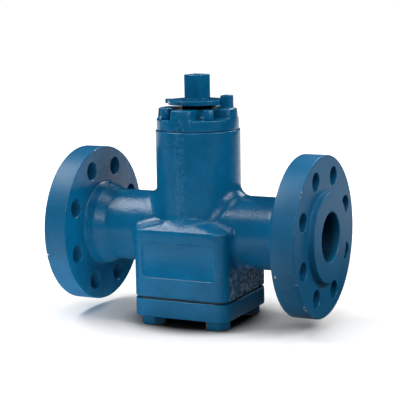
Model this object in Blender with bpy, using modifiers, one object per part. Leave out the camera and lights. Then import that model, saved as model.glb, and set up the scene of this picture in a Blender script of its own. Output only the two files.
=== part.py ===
"""A two-inch class 600 flanged plug valve, worked by a wrench on its square stem.

The pipe runs along X and the stem stands up along Z, with z = 0 under the heads of the cover bolts, on which
the valve stands. The plug is drawn open, with the stop collar against its lug.
"""

import math

import bmesh
import bpy
import numpy as np
from mathutils import Matrix, Vector

# Fits and fineness
FIT = 0.0003
SINK = 0.0003
OVERRUN = 0.002
MERGE = 0.000001
SMOOTH_ANGLE = math.radians(32)
FINE = 40
MEDIUM = 24
COARSE = 16
CORNER_STEPS = 5
ARC_STEPS = 3

# Flanged pipe ends, from the bore outwards. The flange comes to 165.1 mm, its holes to a 127 mm circle.
FACE_TO_FACE = 0.2921
BORE_D = 0.0508
NECK_WALL = 0.0121
HUB_STEP = 0.0065
HUB_L = 0.0105
HUB_ROOT = 0.002
NUT_ROOM = 0.009975
FLANGE_HOLES = 8
FLANGE_HOLE_D = 0.01905
FLANGE_RIM = 0.01905
FLANGE_T = 0.0254
FLANGE_EDGE = 0.0015
GASKET_ROOM = 0.007925
RAISED_FACE_H = 0.00635

# Body casting
BOX_WALL = 0.0167
BOX_CORNER = 0.013
BOX_RISE = 0.0045
BOX_EDGE = 0.001
SHOULDER_RISE = 0.0115
SHOULDER_STEPS = (0.12, 0.5, 1.0)
SHOULDER_CURVE = 1.6
BARREL_STEP = 0.00135
BARREL_EDGE = 0.0012
NECK_BLEND = 0.014
BOX_BLEND = 0.006
PANEL_MARGIN = 0.0132
PANEL_H = 0.0372
PANEL_BELOW_AXIS = 0.0254
PANEL_CORNER = 0.0035
PANEL_DEPTH = 0.0012

# Plug and its tapered seat
SEAT_D = 0.068
TAPER = 1.0 / 12.0
PLUG_ABOVE = 0.034
PLUG_BELOW = 0.042
SEAT_CEILING = 0.002
SEAT_RUN_OUT = 0.012
REGISTER_STEP = 0.0008
REGISTER_DEPTH = 0.0103
REGISTER_WALL = 0.004788
PORT_W = 0.028
PORT_H = 0.050
PORT_REACH = 0.030
GROOVES = 4
GROOVE_W = 0.003
GROOVE_DEPTH = 0.0012
GROOVE_END = 0.008

# Coupling between the plug and the stem
COUPLING_SLACK = 0.002
COUPLING_T = 0.016
TANG_W = 0.010
TANG_L = 0.036
TANG_H = 0.006
STEM_HEAD_T = 0.007
STEM_HEAD_STEP = 0.0088
STEM_HEAD_SLACK = 0.0012
THRUST_WASHER_T = 0.002

# Stuffing box
WEB_T = 0.0068
PACKING_RINGS = 3
PACKING_W = 0.0077
PACKING_H = 0.0072
PACKING_WASHER_T = 0.002
CAP_SPIGOT_L = 0.0132

# Stem
SHANK_STEP = 0.00063
SQUARE_W = 0.0208
SQUARE_CORNER = 0.002
SQUARE_EDGE = 0.0008
SQUARE_L = 0.0259
SQUARE_TURN = math.radians(-10)
SEALANT_WAY_D = 0.005
SEALANT_SCREW_D = 0.010
SEALANT_SCREW_L = 0.012
SEALANT_KEY_W = 0.005
SEALANT_KEY_DEPTH = 0.004

# Top cap with its stop lug
CAP_SCREW_WALL = 0.00855
CAP_RIM = 0.0081
CAP_FLANGE_T = 0.0114
CAP_RIB_H = 0.0103
CAP_RIB_W = 0.023
CAP_EDGE = 0.0015
CAP_DRAFT = 0.0010
POCKET_CORNER = 0.009
POCKET_ROOT = 0.0022
LUG_INSET = 0.0046
LUG_L = 0.010
LUG_W = 0.012
LUG_RISE = 0.0135
LUG_CORNER = 0.0025
LUG_DRAFT = 0.0004
LUG_EDGE = 0.0012
BUSH_WALL = 0.0024
BUSH_H = 0.0164
SEAL_WALL = 0.0016
SEAL_H = 0.0031

# Stop collar and its retaining ring
STOP_DEPTH = 0.0025
STOP_ROOM = 0.0005
COLLAR_T = 0.0045
COLLAR_EDGE = 0.0005
POINTER_L = 0.0065
POINTER_W = 0.006
RING_T = 0.0012
RING_W = 0.0032
RING_GAP = math.radians(28)
RING_GROOVE_DEPTH = 0.0013

# Screws of the cap
CAP_SCREWS = 4
CAP_SCREW_D = 0.0079
CAP_SCREW_L = 0.031
CAP_SCREW_HEAD_W = 0.0095
CAP_SCREW_HEAD_H = 0.0100
CAP_SCREW_EDGE = 0.0016

# Bottom cover, its joint and its bolts
COVER_T = 0.019
COVER_EDGE = 0.0015
SPIGOT_SLACK = 0.0008
COVER_GASKET_T = 0.0014
COVER_GASKET_INSET = 0.002
BOLT_D = 0.015875
BOLT_HEAD_W = 0.0238
BOLT_HEAD_H = 0.0094
BOLT_HEAD_EDGE = 0.0030
BOLT_GRIP_IN_BODY = 0.0235
BOLT_HOLE_SLACK = 0.0003

# Thrust ball, pad and adjusting screw under the plug
BALL_D = 0.012
BALL_CUP_D = 0.014
BALL_CUP_DEPTH = 0.003
PAD_D = 0.020
PAD_T = 0.006
PAD_SLACK = 0.001
ADJUSTER_D = 0.016
ADJUSTER_KEY_W = 0.008
ADJUSTER_KEY_DEPTH = 0.006
ADJUSTER_CLEAR = 0.0010
LOCK_NUT_W = 0.024
LOCK_NUT_CLEAR = 0.0020
LOCK_NUT_EDGE = 0.0030


def seat_radius(height):
    """Radius of the tapered seat at a height above the pipe axis. It grows downwards."""
    return SEAT_D / 2 - TAPER * height


# Widths worked out from the inside to the outside
NECK_R = BORE_D / 2 + NECK_WALL
HUB_R = NECK_R + HUB_STEP
FLANGE_HOLE_CIRCLE_R = HUB_R + NUT_ROOM + FLANGE_HOLE_D / 2
FLANGE_R = FLANGE_HOLE_CIRCLE_R + FLANGE_RIM
RAISED_FACE_R = FLANGE_HOLE_CIRCLE_R - FLANGE_HOLE_D / 2 - GASKET_ROOM
SQUARE_REACH = math.hypot(SQUARE_W / 2, SQUARE_W / 2 - SQUARE_CORNER)
SHANK_R = SQUARE_REACH + SHANK_STEP
STEM_BORE_R = SHANK_R + FIT
STUFFING_R = STEM_BORE_R + PACKING_W
STEM_HEAD_R = SHANK_R + STEM_HEAD_STEP
CHAMBER_R = STEM_HEAD_R + STEM_HEAD_SLACK
COUPLING_R = CHAMBER_R - COUPLING_SLACK
CAP_SCREW_CIRCLE_R = STUFFING_R + CAP_SCREW_WALL + CAP_SCREW_D / 2
CAP_R = CAP_SCREW_CIRCLE_R + CAP_RIM
BARREL_R = CAP_R + BARREL_STEP
BUSH_R = STEM_BORE_R + BUSH_WALL
LUG_INNER = CAP_R - LUG_INSET - LUG_L
COLLAR_R = LUG_INNER + STOP_DEPTH
NOTCH_R = LUG_INNER - STOP_ROOM
RING_INNER_R = SQUARE_REACH - RING_GROOVE_DEPTH
SEAT_BELOW = PLUG_BELOW + SEAT_RUN_OUT
REGISTER_R = seat_radius(-SEAT_BELOW) + REGISTER_STEP
SPIGOT_R = REGISTER_R - FIT
BOLT_HOLE_D = BOLT_D + 2 * BOLT_HOLE_SLACK
BOLT_PITCH = math.sqrt(2) * (REGISTER_R + REGISTER_WALL + BOLT_HOLE_D / 2)
BOX_HALF = BOLT_PITCH / 2 + BOX_WALL
CAP_SCREW_HOLE_D = CAP_SCREW_D + 2 * FIT

# Heights of the stack, from the ground up
HEAD_TOP = BOLT_HEAD_H
COVER_BOTTOM = HEAD_TOP + FIT
COVER_TOP = COVER_BOTTOM + COVER_T
GASKET_BOTTOM = COVER_TOP + FIT
BODY_BOTTOM = GASKET_BOTTOM + COVER_GASKET_T + FIT
PIPE_Z = BODY_BOTTOM + REGISTER_DEPTH + SEAT_BELOW
BOX_TOP = PIPE_Z + BOX_RISE
PLUG_BOTTOM = PIPE_Z - PLUG_BELOW
PLUG_TOP = PIPE_Z + PLUG_ABOVE
SEAT_BOTTOM = PIPE_Z - SEAT_BELOW
SEAT_TOP = PLUG_TOP + SEAT_CEILING
COUPLING_BOTTOM = PLUG_TOP + FIT
COUPLING_TOP = COUPLING_BOTTOM + COUPLING_T
STEM_HEAD_BOTTOM = COUPLING_TOP + FIT
STEM_HEAD_TOP = STEM_HEAD_BOTTOM + STEM_HEAD_T
THRUST_WASHER_BOTTOM = STEM_HEAD_TOP + FIT
WEB_BOTTOM = THRUST_WASHER_BOTTOM + THRUST_WASHER_T + FIT
WEB_TOP = WEB_BOTTOM + WEB_T
PACKING_WASHER_BOTTOM = WEB_TOP + FIT
PACKING_BOTTOM = PACKING_WASHER_BOTTOM + PACKING_WASHER_T + FIT
CAP_SPIGOT_BOTTOM = PACKING_BOTTOM + PACKING_RINGS * (PACKING_H + FIT)
CAP_BOTTOM = CAP_SPIGOT_BOTTOM + CAP_SPIGOT_L
BODY_TOP = CAP_BOTTOM - FIT
POCKET_FLOOR = CAP_BOTTOM + CAP_FLANGE_T
CAP_TOP = POCKET_FLOOR + CAP_RIB_H
LUG_TOP = CAP_TOP + LUG_RISE
SEAL_BOTTOM = CAP_TOP + FIT
SHANK_TOP = SEAL_BOTTOM + SEAL_H + FIT
COLLAR_BOTTOM = SHANK_TOP + FIT
COLLAR_TOP = COLLAR_BOTTOM + COLLAR_T
RING_BOTTOM = COLLAR_TOP + FIT
SQUARE_TOP = COLLAR_TOP + SQUARE_L
BALL_CENTRE = PLUG_BOTTOM + BALL_CUP_DEPTH - FIT - BALL_D / 2
PAD_TOP = BALL_CENTRE - BALL_D / 2 - FIT
PAD_BOTTOM = PAD_TOP - PAD_T
SPIGOT_TOP = SEAT_BOTTOM - SPIGOT_SLACK

# Places along the pipe, and of the bolts and screws
FLANGE_BACK = FACE_TO_FACE / 2 - RAISED_FACE_H - FLANGE_T
FLANGE_FRONT = FLANGE_BACK + FLANGE_T
PIPE_END = FACE_TO_FACE / 2
INSIDE_SEAT = SEAT_D / 4
COLLAR_STOP = LUG_W / 2 + FIT
BOLT_PLACES = [
    (side_x * BOLT_PITCH / 2, side_y * BOLT_PITCH / 2)
    for side_x, side_y in ((1, 1), (-1, 1), (-1, -1), (1, -1))
]
CAP_SCREW_ANGLES = [(i + 0.5) * 2 * math.pi / CAP_SCREWS for i in range(CAP_SCREWS)]
CAP_SCREW_PLACES = [
    (CAP_SCREW_CIRCLE_R * math.cos(angle), CAP_SCREW_CIRCLE_R * math.sin(angle))
    for angle in CAP_SCREW_ANGLES
]

# Finishes: colour, roughness, metallic
BLUE_PAINT = ((0.004, 0.105, 0.245), 0.35, 0.0)
MACHINED_STEEL = ((0.42, 0.43, 0.45), 0.35, 1.0)
HARD_STEEL = ((0.60, 0.60, 0.62), 0.18, 1.0)
DARK_STEEL = ((0.10, 0.10, 0.11), 0.45, 1.0)
GREY_IRON = ((0.24, 0.25, 0.26), 0.55, 0.9)
BRONZE = ((0.50, 0.31, 0.12), 0.40, 1.0)
GRAPHITE = ((0.035, 0.035, 0.038), 0.60, 0.1)
BLACK_RUBBER = ((0.012, 0.012, 0.013), 0.75, 0.0)


def clear_scene():
    for obj in list(bpy.data.objects):
        bpy.data.objects.remove(obj)


def new_collection(name):
    made = bpy.data.collections.new(name)
    bpy.context.scene.collection.children.link(made)
    return made


def coat(obj, finish):
    colour, roughness, metallic = finish
    material = bpy.data.materials.new(obj.name + "_finish")
    material.use_nodes = True
    shader = material.node_tree.nodes["Principled BSDF"]
    shader.inputs["Base Color"].default_value = (*colour, 1.0)
    shader.inputs["Roughness"].default_value = roughness
    shader.inputs["Metallic"].default_value = metallic
    obj.data.materials.clear()
    obj.data.materials.append(material)


def place_mesh(name, shape, home):
    mesh = bpy.data.meshes.new(name)
    bmesh.ops.recalc_face_normals(shape, faces=shape.faces)
    shape.to_mesh(mesh)
    shape.free()
    obj = bpy.data.objects.new(name, mesh)
    home.objects.link(obj)
    return obj


def turned(name, profile, home, steps=FINE, ring=False):
    """Turn (radius, height) points, from the top down the outer side, about Z.

    The profile of a ring closes on itself up its bore.
    """
    mesh = bpy.data.meshes.new(name)
    points = [(radius, 0.0, height) for radius, height in profile]
    edges = [(i, i + 1) for i in range(len(points) - 1)]
    if ring:
        edges.append((len(points) - 1, 0))
    mesh.from_pydata(points, edges, [])
    obj = bpy.data.objects.new(name, mesh)
    home.objects.link(obj)
    turn = obj.modifiers.new("Turn", "SCREW")
    turn.angle = 2 * math.pi
    turn.steps = steps
    turn.render_steps = steps
    turn.use_merge_vertices = True
    turn.merge_threshold = MERGE
    return obj


def washer(name, inner, outer, bottom, top, home, steps=MEDIUM):
    profile = [(outer, top), (outer, bottom), (inner, bottom), (inner, top)]
    return turned(name, profile, home, steps, ring=True)


def quarter(centre, radius, start, end, steps=ARC_STEPS):
    """Points of an arc in a profile, between two angles in degrees."""
    angles = np.radians(np.linspace(start, end, steps + 1))
    return [(centre[0] + radius * math.cos(angle), centre[1] + radius * math.sin(angle)) for angle in angles]


def rounded_outline(half_u, half_v, corner, steps=CORNER_STEPS):
    """Points anticlockwise round a rectangle with round corners, or round a circle if all sizes are equal."""
    points = []
    for turn, (side_u, side_v) in enumerate(((1, 1), (-1, 1), (-1, -1), (1, -1))):
        centre = (side_u * (half_u - corner), side_v * (half_v - corner))
        start = 90 * turn
        points += quarter(centre, corner, start, start + 90, steps)
    return np.array(points)


def cut_corner_square(width, corner, turn):
    """Points round a square whose corners are cut off, turned about its middle."""
    half = width / 2
    flat = half - corner
    points = np.array([(half, -flat), (half, flat), (flat, half), (-flat, half)])
    points = np.vstack([points, -points])
    return points @ np.array([[math.cos(turn), math.sin(turn)], [-math.sin(turn), math.cos(turn)]])


def hexagon(width):
    """Points round a hexagon of the given width across its flats, with two corners on X."""
    reach = width / math.sqrt(3)
    turn = np.arange(6) * math.pi / 3
    return reach * np.column_stack([np.cos(turn), np.sin(turn)])


def level(outline, height):
    return np.column_stack([outline, np.full(len(outline), height)])


def across(outline, distance):
    """An outline of (Y, Z) points about the pipe axis, stood up at a distance along X."""
    return np.column_stack([np.full(len(outline), distance), outline[:, 0], outline[:, 1] + PIPE_Z])


def loft(name, rings, home):
    """A closed skin through rings of one count of points, with a flat face over each end."""
    shape = bmesh.new()
    loops = [[shape.verts.new(point) for point in ring] for ring in rings]
    count = len(loops[0])
    for low, high in zip(loops, loops[1:]):
        for i in range(count):
            j = (i + 1) % count
            shape.faces.new((low[i], low[j], high[j], high[i]))
    shape.faces.new(loops[0])
    shape.faces.new(loops[-1])
    bmesh.ops.remove_doubles(shape, verts=shape.verts, dist=MERGE)
    return place_mesh(name, shape, home)


def drills(name, places, diameter, bottom, top, home, steps=COARSE):
    """Upright round cutters at each (x, y) place, all in one object."""
    shape = bmesh.new()
    for x, y in places:
        bmesh.ops.create_cone(
            shape,
            cap_ends=True,
            segments=steps,
            radius1=diameter / 2,
            radius2=diameter / 2,
            depth=top - bottom,
            matrix=Matrix.Translation((x, y, (bottom + top) / 2)),
        )
    return place_mesh(name, shape, home)


def settle(obj):
    """Keep the shape that the modifiers give as the object's own mesh, smooth where it is round."""
    bpy.context.view_layer.update()
    evaluated = obj.evaluated_get(bpy.context.evaluated_depsgraph_get())
    mesh = bpy.data.meshes.new_from_object(evaluated)
    obj.modifiers.clear()
    shape = bmesh.new()
    shape.from_mesh(mesh)
    bmesh.ops.remove_doubles(shape, verts=shape.verts, dist=MERGE)
    shape.to_mesh(mesh)
    shape.free()
    obj.data = mesh
    mesh.name = obj.name
    mesh.shade_smooth()
    mesh.set_sharp_from_angle(angle=SMOOTH_ANGLE)


def combine(obj, operation, *tools):
    """Join or cut with each tool in turn. Settling after each keeps the skin closed for the next."""
    for tool in tools:
        step = obj.modifiers.new(tool.name, "BOOLEAN")
        step.operation = operation
        step.object = tool
        step.solver = "EXACT"
        settle(obj)


def copies(obj, places, home):
    """Name a settled object and its twins one to the last, and set each at its place."""
    stem_name = obj.name
    for number, (x, y) in enumerate(places, start=1):
        twin = obj if number == 1 else obj.copy()
        twin.name = f"{stem_name}_{number}"
        twin.location = (x, y, 0.0)
        if number > 1:
            home.objects.link(twin)


def casting_reach(y, z):
    """How far the barrel and the box reach along X, at places (y, z) measured from the pipe axis."""
    barrel = np.sqrt(np.clip(BARREL_R**2 - y**2, 0.0, None))
    share = np.clip((z - BOX_RISE) / SHOULDER_RISE, 0.0, 1.0)
    return BOX_HALF + (barrel - BOX_HALF) * share


def neck_blends(home):
    """The fillets where both necks leave the barrel and the box, as one loft of rings round the pipe axis.

    Each section is a parabola that leaves the neck along X and lies down on the casting. Its reach is the
    set-back of a rolling ball: its radius times the tangent of half the angle between the two surfaces.
    """
    turn = np.linspace(0.0, 2 * math.pi, FINE, endpoint=False)
    away = np.column_stack([np.sin(turn), np.cos(turn)])
    on_neck = away * (NECK_R - SINK)
    root = casting_reach(on_neck[:, 0], on_neck[:, 1])
    between = np.arccos(np.clip(NECK_R / BARREL_R * away[:, 0] ** 2, -1.0, 1.0))
    on_barrel = NECK_BLEND * np.tan(between / 2)
    share = np.clip((on_neck[:, 1] - BOX_RISE) / SHOULDER_RISE, 0.0, 1.0)
    reach = BOX_BLEND + (on_barrel - BOX_BLEND) * share
    foot = away * (NECK_R + reach)[:, None]
    foot_x = casting_reach(foot[:, 0], foot[:, 1]) - SINK
    rings = [(np.full(FINE, BOX_HALF + NECK_BLEND), on_neck)]
    for t in np.linspace(0.0, 1.0, ARC_STEPS + 1):
        along = (1 - t) ** 2 * (root + reach) + 2 * t * (1 - t) * root + t**2 * foot_x
        out = (1 - t**2) * on_neck + t**2 * foot
        rings.append((along, out))
    rings.append((np.full(FINE, INSIDE_SEAT), on_neck / 2))
    right = [np.column_stack([along, out[:, 0], out[:, 1] + PIPE_Z]) for along, out in rings]
    left = [ring * np.array([-1.0, 1.0, 1.0]) for ring in reversed(right)]
    return loft("neck_blends", right + left, home)


def pipe_form(home):
    """Raised faces, flanges, hubs and necks of both ends, turned in one about the pipe axis."""
    hub_start = FLANGE_BACK - HUB_L
    half = [
        (0.0, PIPE_END),
        (RAISED_FACE_R, PIPE_END),
        (RAISED_FACE_R, FLANGE_FRONT),
        (FLANGE_R - FLANGE_EDGE, FLANGE_FRONT),
        (FLANGE_R, FLANGE_FRONT - FLANGE_EDGE),
        (FLANGE_R, FLANGE_BACK + FLANGE_EDGE / 2),
        (FLANGE_R - FLANGE_EDGE / 2, FLANGE_BACK),
        (HUB_R + HUB_ROOT, FLANGE_BACK),
        (HUB_R, FLANGE_BACK - HUB_ROOT),
    ]
    half += quarter((NECK_R, hub_start), HUB_STEP, 0, -80)
    half += [(NECK_R, hub_start - HUB_STEP - HUB_ROOT)]
    obj = turned("pipe_form", half + [(radius, -along) for radius, along in reversed(half)], home)
    obj.location = (0.0, 0.0, PIPE_Z)
    obj.rotation_euler = (0.0, math.pi / 2, 0.0)
    return obj


def flow_way(name, side, home):
    """A round bore from the flange that narrows to the plug's tall port."""
    bore = rounded_outline(BORE_D / 2, BORE_D / 2, BORE_D / 2)
    rings = [across(bore, side * (PIPE_END + OVERRUN))]
    narrowing_start = BOX_HALF + NECK_BLEND
    for t in np.linspace(0.0, 1.0, ARC_STEPS + 1):
        ease = t * t * (3 - 2 * t)
        half_w = BORE_D / 2 + (PORT_W - BORE_D) / 2 * ease
        half_h = BORE_D / 2 + (PORT_H - BORE_D) / 2 * ease
        along = narrowing_start + (PORT_REACH - narrowing_start) * t
        rings.append(across(rounded_outline(half_w, half_h, half_w), side * along))
    port = rounded_outline(PORT_W / 2, PORT_H / 2, PORT_W / 2)
    rings.append(across(port, side * INSIDE_SEAT))
    return loft(name, rings, home)


def flange_drills(name, side, home):
    shape = bmesh.new()
    for i in range(FLANGE_HOLES):
        angle = (i + 0.5) * 2 * math.pi / FLANGE_HOLES
        y = FLANGE_HOLE_CIRCLE_R * math.sin(angle)
        z = FLANGE_HOLE_CIRCLE_R * math.cos(angle)
        middle = side * (FLANGE_BACK + FLANGE_T / 2)
        stand = Matrix.Translation((middle, y, PIPE_Z + z)) @ Matrix.Rotation(math.pi / 2, 4, "Y")
        bmesh.ops.create_cone(
            shape,
            cap_ends=True,
            segments=COARSE,
            radius1=FLANGE_HOLE_D / 2,
            radius2=FLANGE_HOLE_D / 2,
            depth=FLANGE_T + 2 * OVERRUN,
            matrix=stand,
        )
    return place_mesh(name, shape, home)


def body(parts, cutters):
    """The one-piece casting: square box, barrel, two necks and two flanges, bored for the plug from below."""
    barrel = [(0.0, BODY_TOP), (BARREL_R - BARREL_EDGE, BODY_TOP), (BARREL_R, BODY_TOP - BARREL_EDGE)]
    barrel += [(BARREL_R, PIPE_Z), (0.0, PIPE_Z)]
    obj = turned("body", barrel, parts)
    square = rounded_outline(BOX_HALF, BOX_HALF, BOX_CORNER)
    inset = rounded_outline(BOX_HALF - BOX_EDGE, BOX_HALF - BOX_EDGE, BOX_CORNER - BOX_EDGE)
    rings = [level(inset, BODY_BOTTOM), level(square, BODY_BOTTOM + BOX_EDGE), level(square, BOX_TOP)]
    top_half = BARREL_R - 2 * OVERRUN
    for t in SHOULDER_STEPS:
        half = BOX_HALF + (top_half - BOX_HALF) * t
        corner = BOX_CORNER + (top_half - BOX_CORNER) * t
        height = BOX_TOP + (SHOULDER_RISE + OVERRUN) * (1 - (1 - t) ** SHOULDER_CURVE)
        rings.append(level(rounded_outline(half, half, corner), height))
    additions = [loft("box_form", rings, cutters), pipe_form(cutters), neck_blends(cutters)]
    removals = [body_cavity(cutters)]
    for label, side in (("right", 1), ("left", -1)):
        removals.append(flow_way(f"{label}_flow_way", side, cutters))
        removals.append(flange_drills(f"{label}_flange_drills", side, cutters))
    bolt_top = BODY_BOTTOM + BOLT_GRIP_IN_BODY + OVERRUN
    removals.append(
        drills("body_bolt_drills", BOLT_PLACES, BOLT_HOLE_D, BODY_BOTTOM - OVERRUN, bolt_top, cutters)
    )
    screw_bottom = POCKET_FLOOR - CAP_SCREW_L - OVERRUN
    screw_top = BODY_TOP + OVERRUN
    removals.append(
        drills("body_screw_drills", CAP_SCREW_PLACES, CAP_SCREW_HOLE_D, screw_bottom, screw_top, cutters)
    )
    removals.append(panel_cutter(cutters))
    combine(obj, "UNION", *additions)
    combine(obj, "DIFFERENCE", *removals)
    coat(obj, BLUE_PAINT)


def panel_cutter(cutters):
    """The shallow panel sunk in the front of the box."""
    outline = rounded_outline(BOX_HALF - PANEL_MARGIN, PANEL_H / 2, PANEL_CORNER)
    heights = outline[:, 1] + PIPE_Z - PANEL_BELOW_AXIS
    rings = []
    for y in (-BOX_HALF - OVERRUN, -BOX_HALF + PANEL_DEPTH):
        rings.append(np.column_stack([outline[:, 0], np.full(len(outline), y), heights]))
    return loft("panel_cutter", rings, cutters)


def body_cavity(cutters):
    """Register for the cover, tapered seat, coupling chamber, stem bore and stuffing box, in one cutter."""
    profile = [
        (0.0, BODY_TOP + OVERRUN),
        (STUFFING_R, BODY_TOP + OVERRUN),
        (STUFFING_R, WEB_TOP),
        (STEM_BORE_R, WEB_TOP),
        (STEM_BORE_R, WEB_BOTTOM),
        (CHAMBER_R, WEB_BOTTOM),
        (CHAMBER_R, SEAT_TOP),
        (seat_radius(SEAT_TOP - PIPE_Z), SEAT_TOP),
        (seat_radius(-SEAT_BELOW), SEAT_BOTTOM),
        (REGISTER_R, SEAT_BOTTOM),
        (REGISTER_R, BODY_BOTTOM - OVERRUN),
        (0.0, BODY_BOTTOM - OVERRUN),
    ]
    return turned("body_cavity", profile, cutters)


def plug(parts, cutters):
    """Tapered plug with a tall port, a driving tang on top, a cup for the thrust ball and sealant grooves."""
    top_r = seat_radius(PLUG_ABOVE) - FIT
    bottom_r = seat_radius(-PLUG_BELOW) - FIT
    profile = [(0.0, PLUG_TOP), (top_r, PLUG_TOP), (bottom_r, PLUG_BOTTOM), (0.0, PLUG_BOTTOM)]
    obj = turned("plug", profile, parts)
    tang = block("plug_tang", TANG_L, TANG_W, PLUG_TOP - OVERRUN, PLUG_TOP + TANG_H, 0.0, cutters)
    port = rounded_outline(PORT_W / 2, PORT_H / 2, PORT_W / 2)
    through = bottom_r + OVERRUN
    port_cutter = loft("plug_port", [across(port, -through), across(port, through)], cutters)
    cup = [(0.0, PLUG_BOTTOM + BALL_CUP_DEPTH), (BALL_CUP_D / 2, PLUG_BOTTOM + BALL_CUP_DEPTH)]
    cup += [(BALL_CUP_D / 2, PLUG_BOTTOM - OVERRUN), (0.0, PLUG_BOTTOM - OVERRUN)]
    cup_cutter = turned("plug_cup", cup, cutters, MEDIUM)
    combine(obj, "UNION", tang)
    combine(obj, "DIFFERENCE", port_cutter, cup_cutter, groove_cutter(cutters))
    coat(obj, GREY_IRON)


def groove_cutter(cutters):
    """Slots that follow the taper, spaced evenly between the port and the blank sides."""
    shape = bmesh.new()
    low = PLUG_BOTTOM + GROOVE_END
    high = PLUG_TOP - GROOVE_END
    for i in range(GROOVES):
        turn = Matrix.Rotation((i + 0.5) * 2 * math.pi / GROOVES, 4, "Z")
        corners = []
        for height in (low, high):
            inner = seat_radius(height - PIPE_Z) - FIT - GROOVE_DEPTH
            for radius in (inner, inner + GROOVE_DEPTH + OVERRUN):
                for y in (-GROOVE_W / 2, GROOVE_W / 2):
                    corners.append(shape.verts.new(turn @ Vector((radius, y, height))))
        bmesh.ops.convex_hull(shape, input=corners)
    return place_mesh("plug_grooves", shape, cutters)


def block(name, length, width, bottom, top, turn, home):
    """A box about the stem axis, long along X before it is turned."""
    shape = bmesh.new()
    bmesh.ops.create_cube(shape, size=1.0)
    bmesh.ops.scale(shape, vec=(length, width, top - bottom), verts=shape.verts)
    bmesh.ops.translate(shape, vec=(0.0, 0.0, (bottom + top) / 2), verts=shape.verts)
    bmesh.ops.rotate(shape, matrix=Matrix.Rotation(turn, 3, "Z"), verts=shape.verts)
    return place_mesh(name, shape, home)


def coupling_ring(parts, cutters):
    """Disc between plug and stem, with a slot across its underside and one across its top at right angles."""
    obj = rod("coupling_ring", 2 * COUPLING_R, COUPLING_BOTTOM, COUPLING_TOP, parts, FINE)
    slot_w = TANG_W + 2 * FIT
    slot_l = 2 * (COUPLING_R + OVERRUN)
    slot_h = TANG_H + FIT
    low = block("lower_slot", slot_l, slot_w, COUPLING_BOTTOM - OVERRUN, PLUG_TOP + slot_h, 0.0, cutters)
    high_bottom = STEM_HEAD_BOTTOM - slot_h
    high = block("upper_slot", slot_l, slot_w, high_bottom, COUPLING_TOP + OVERRUN, math.pi / 2, cutters)
    combine(obj, "DIFFERENCE", low, high)
    coat(obj, MACHINED_STEEL)


def stem(parts, cutters):
    """Headed shank with a tang below, a wrench square above and a sealant way down its middle."""
    profile = [
        (0.0, SHANK_TOP),
        (SHANK_R, SHANK_TOP),
        (SHANK_R, STEM_HEAD_TOP),
        (STEM_HEAD_R, STEM_HEAD_TOP),
        (STEM_HEAD_R, STEM_HEAD_BOTTOM),
        (0.0, STEM_HEAD_BOTTOM),
    ]
    obj = turned("stem", profile, parts)
    square = cut_corner_square(SQUARE_W, SQUARE_CORNER, SQUARE_TURN)
    small = cut_corner_square(SQUARE_W - 2 * SQUARE_EDGE, SQUARE_CORNER, SQUARE_TURN)
    shoulder = SQUARE_TOP - SQUARE_EDGE
    rings = [level(square, SHANK_TOP - OVERRUN), level(square, shoulder), level(small, SQUARE_TOP)]
    square_form = loft("square_form", rings, cutters)
    tang_bottom = STEM_HEAD_BOTTOM - TANG_H
    tang = block("stem_tang", TANG_L, TANG_W, tang_bottom, STEM_HEAD_BOTTOM + OVERRUN, math.pi / 2, cutters)
    way = [
        (0.0, SQUARE_TOP + OVERRUN),
        (SEALANT_SCREW_D / 2 + FIT, SQUARE_TOP + OVERRUN),
        (SEALANT_SCREW_D / 2 + FIT, SQUARE_TOP - SEALANT_SCREW_L - FIT),
        (SEALANT_WAY_D / 2, SQUARE_TOP - SEALANT_SCREW_L - FIT),
        (SEALANT_WAY_D / 2, tang_bottom - OVERRUN),
        (0.0, tang_bottom - OVERRUN),
    ]
    way_cutter = turned("sealant_way", way, cutters, COARSE)
    groove_top = RING_BOTTOM + RING_T + FIT
    groove_outer = SQUARE_REACH + OVERRUN
    groove = washer("ring_groove", RING_INNER_R - FIT, groove_outer, RING_BOTTOM - FIT, groove_top, cutters)
    combine(obj, "UNION", square_form, tang)
    combine(obj, "DIFFERENCE", way_cutter, groove)
    coat(obj, BLUE_PAINT)


def sealant_screw(parts, cutters):
    """Screw that closes the sealant way, flush with the top of the square."""
    bottom = SQUARE_TOP - SEALANT_SCREW_L
    obj = rod("sealant_screw", SEALANT_SCREW_D, bottom, SQUARE_TOP, parts)
    key = hexagon(SEALANT_KEY_W)
    rings = [level(key, SQUARE_TOP - SEALANT_KEY_DEPTH), level(key, SQUARE_TOP + OVERRUN)]
    combine(obj, "DIFFERENCE", loft("sealant_key", rings, cutters))
    coat(obj, BLUE_PAINT)


def stop_collar(parts, cutters):
    """Disc on the square with a pointer, cut back over a quarter turn so that its shoulders meet the lug."""
    profile = [
        (0.0, COLLAR_TOP),
        (COLLAR_R - COLLAR_EDGE, COLLAR_TOP),
        (COLLAR_R, COLLAR_TOP - COLLAR_EDGE),
        (COLLAR_R, COLLAR_BOTTOM + COLLAR_EDGE),
        (COLLAR_R - COLLAR_EDGE, COLLAR_BOTTOM),
        (0.0, COLLAR_BOTTOM),
    ]
    obj = turned("stop_collar", profile, parts)
    pointer = loft(
        "pointer_form",
        [level(pointer_outline(), COLLAR_BOTTOM + SINK), level(pointer_outline(), COLLAR_TOP - SINK)],
        cutters,
    )
    notch = loft(
        "stop_notch",
        [level(notch_outline(), COLLAR_BOTTOM - OVERRUN), level(notch_outline(), COLLAR_TOP + OVERRUN)],
        cutters,
    )
    hole = cut_corner_square(SQUARE_W + 2 * FIT, SQUARE_CORNER, SQUARE_TURN)
    eye_rings = [level(hole, COLLAR_BOTTOM - OVERRUN), level(hole, COLLAR_TOP + OVERRUN)]
    eye = loft("collar_eye", eye_rings, cutters)
    combine(obj, "UNION", pointer)
    combine(obj, "DIFFERENCE", notch, eye)
    coat(obj, BLUE_PAINT)


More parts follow.
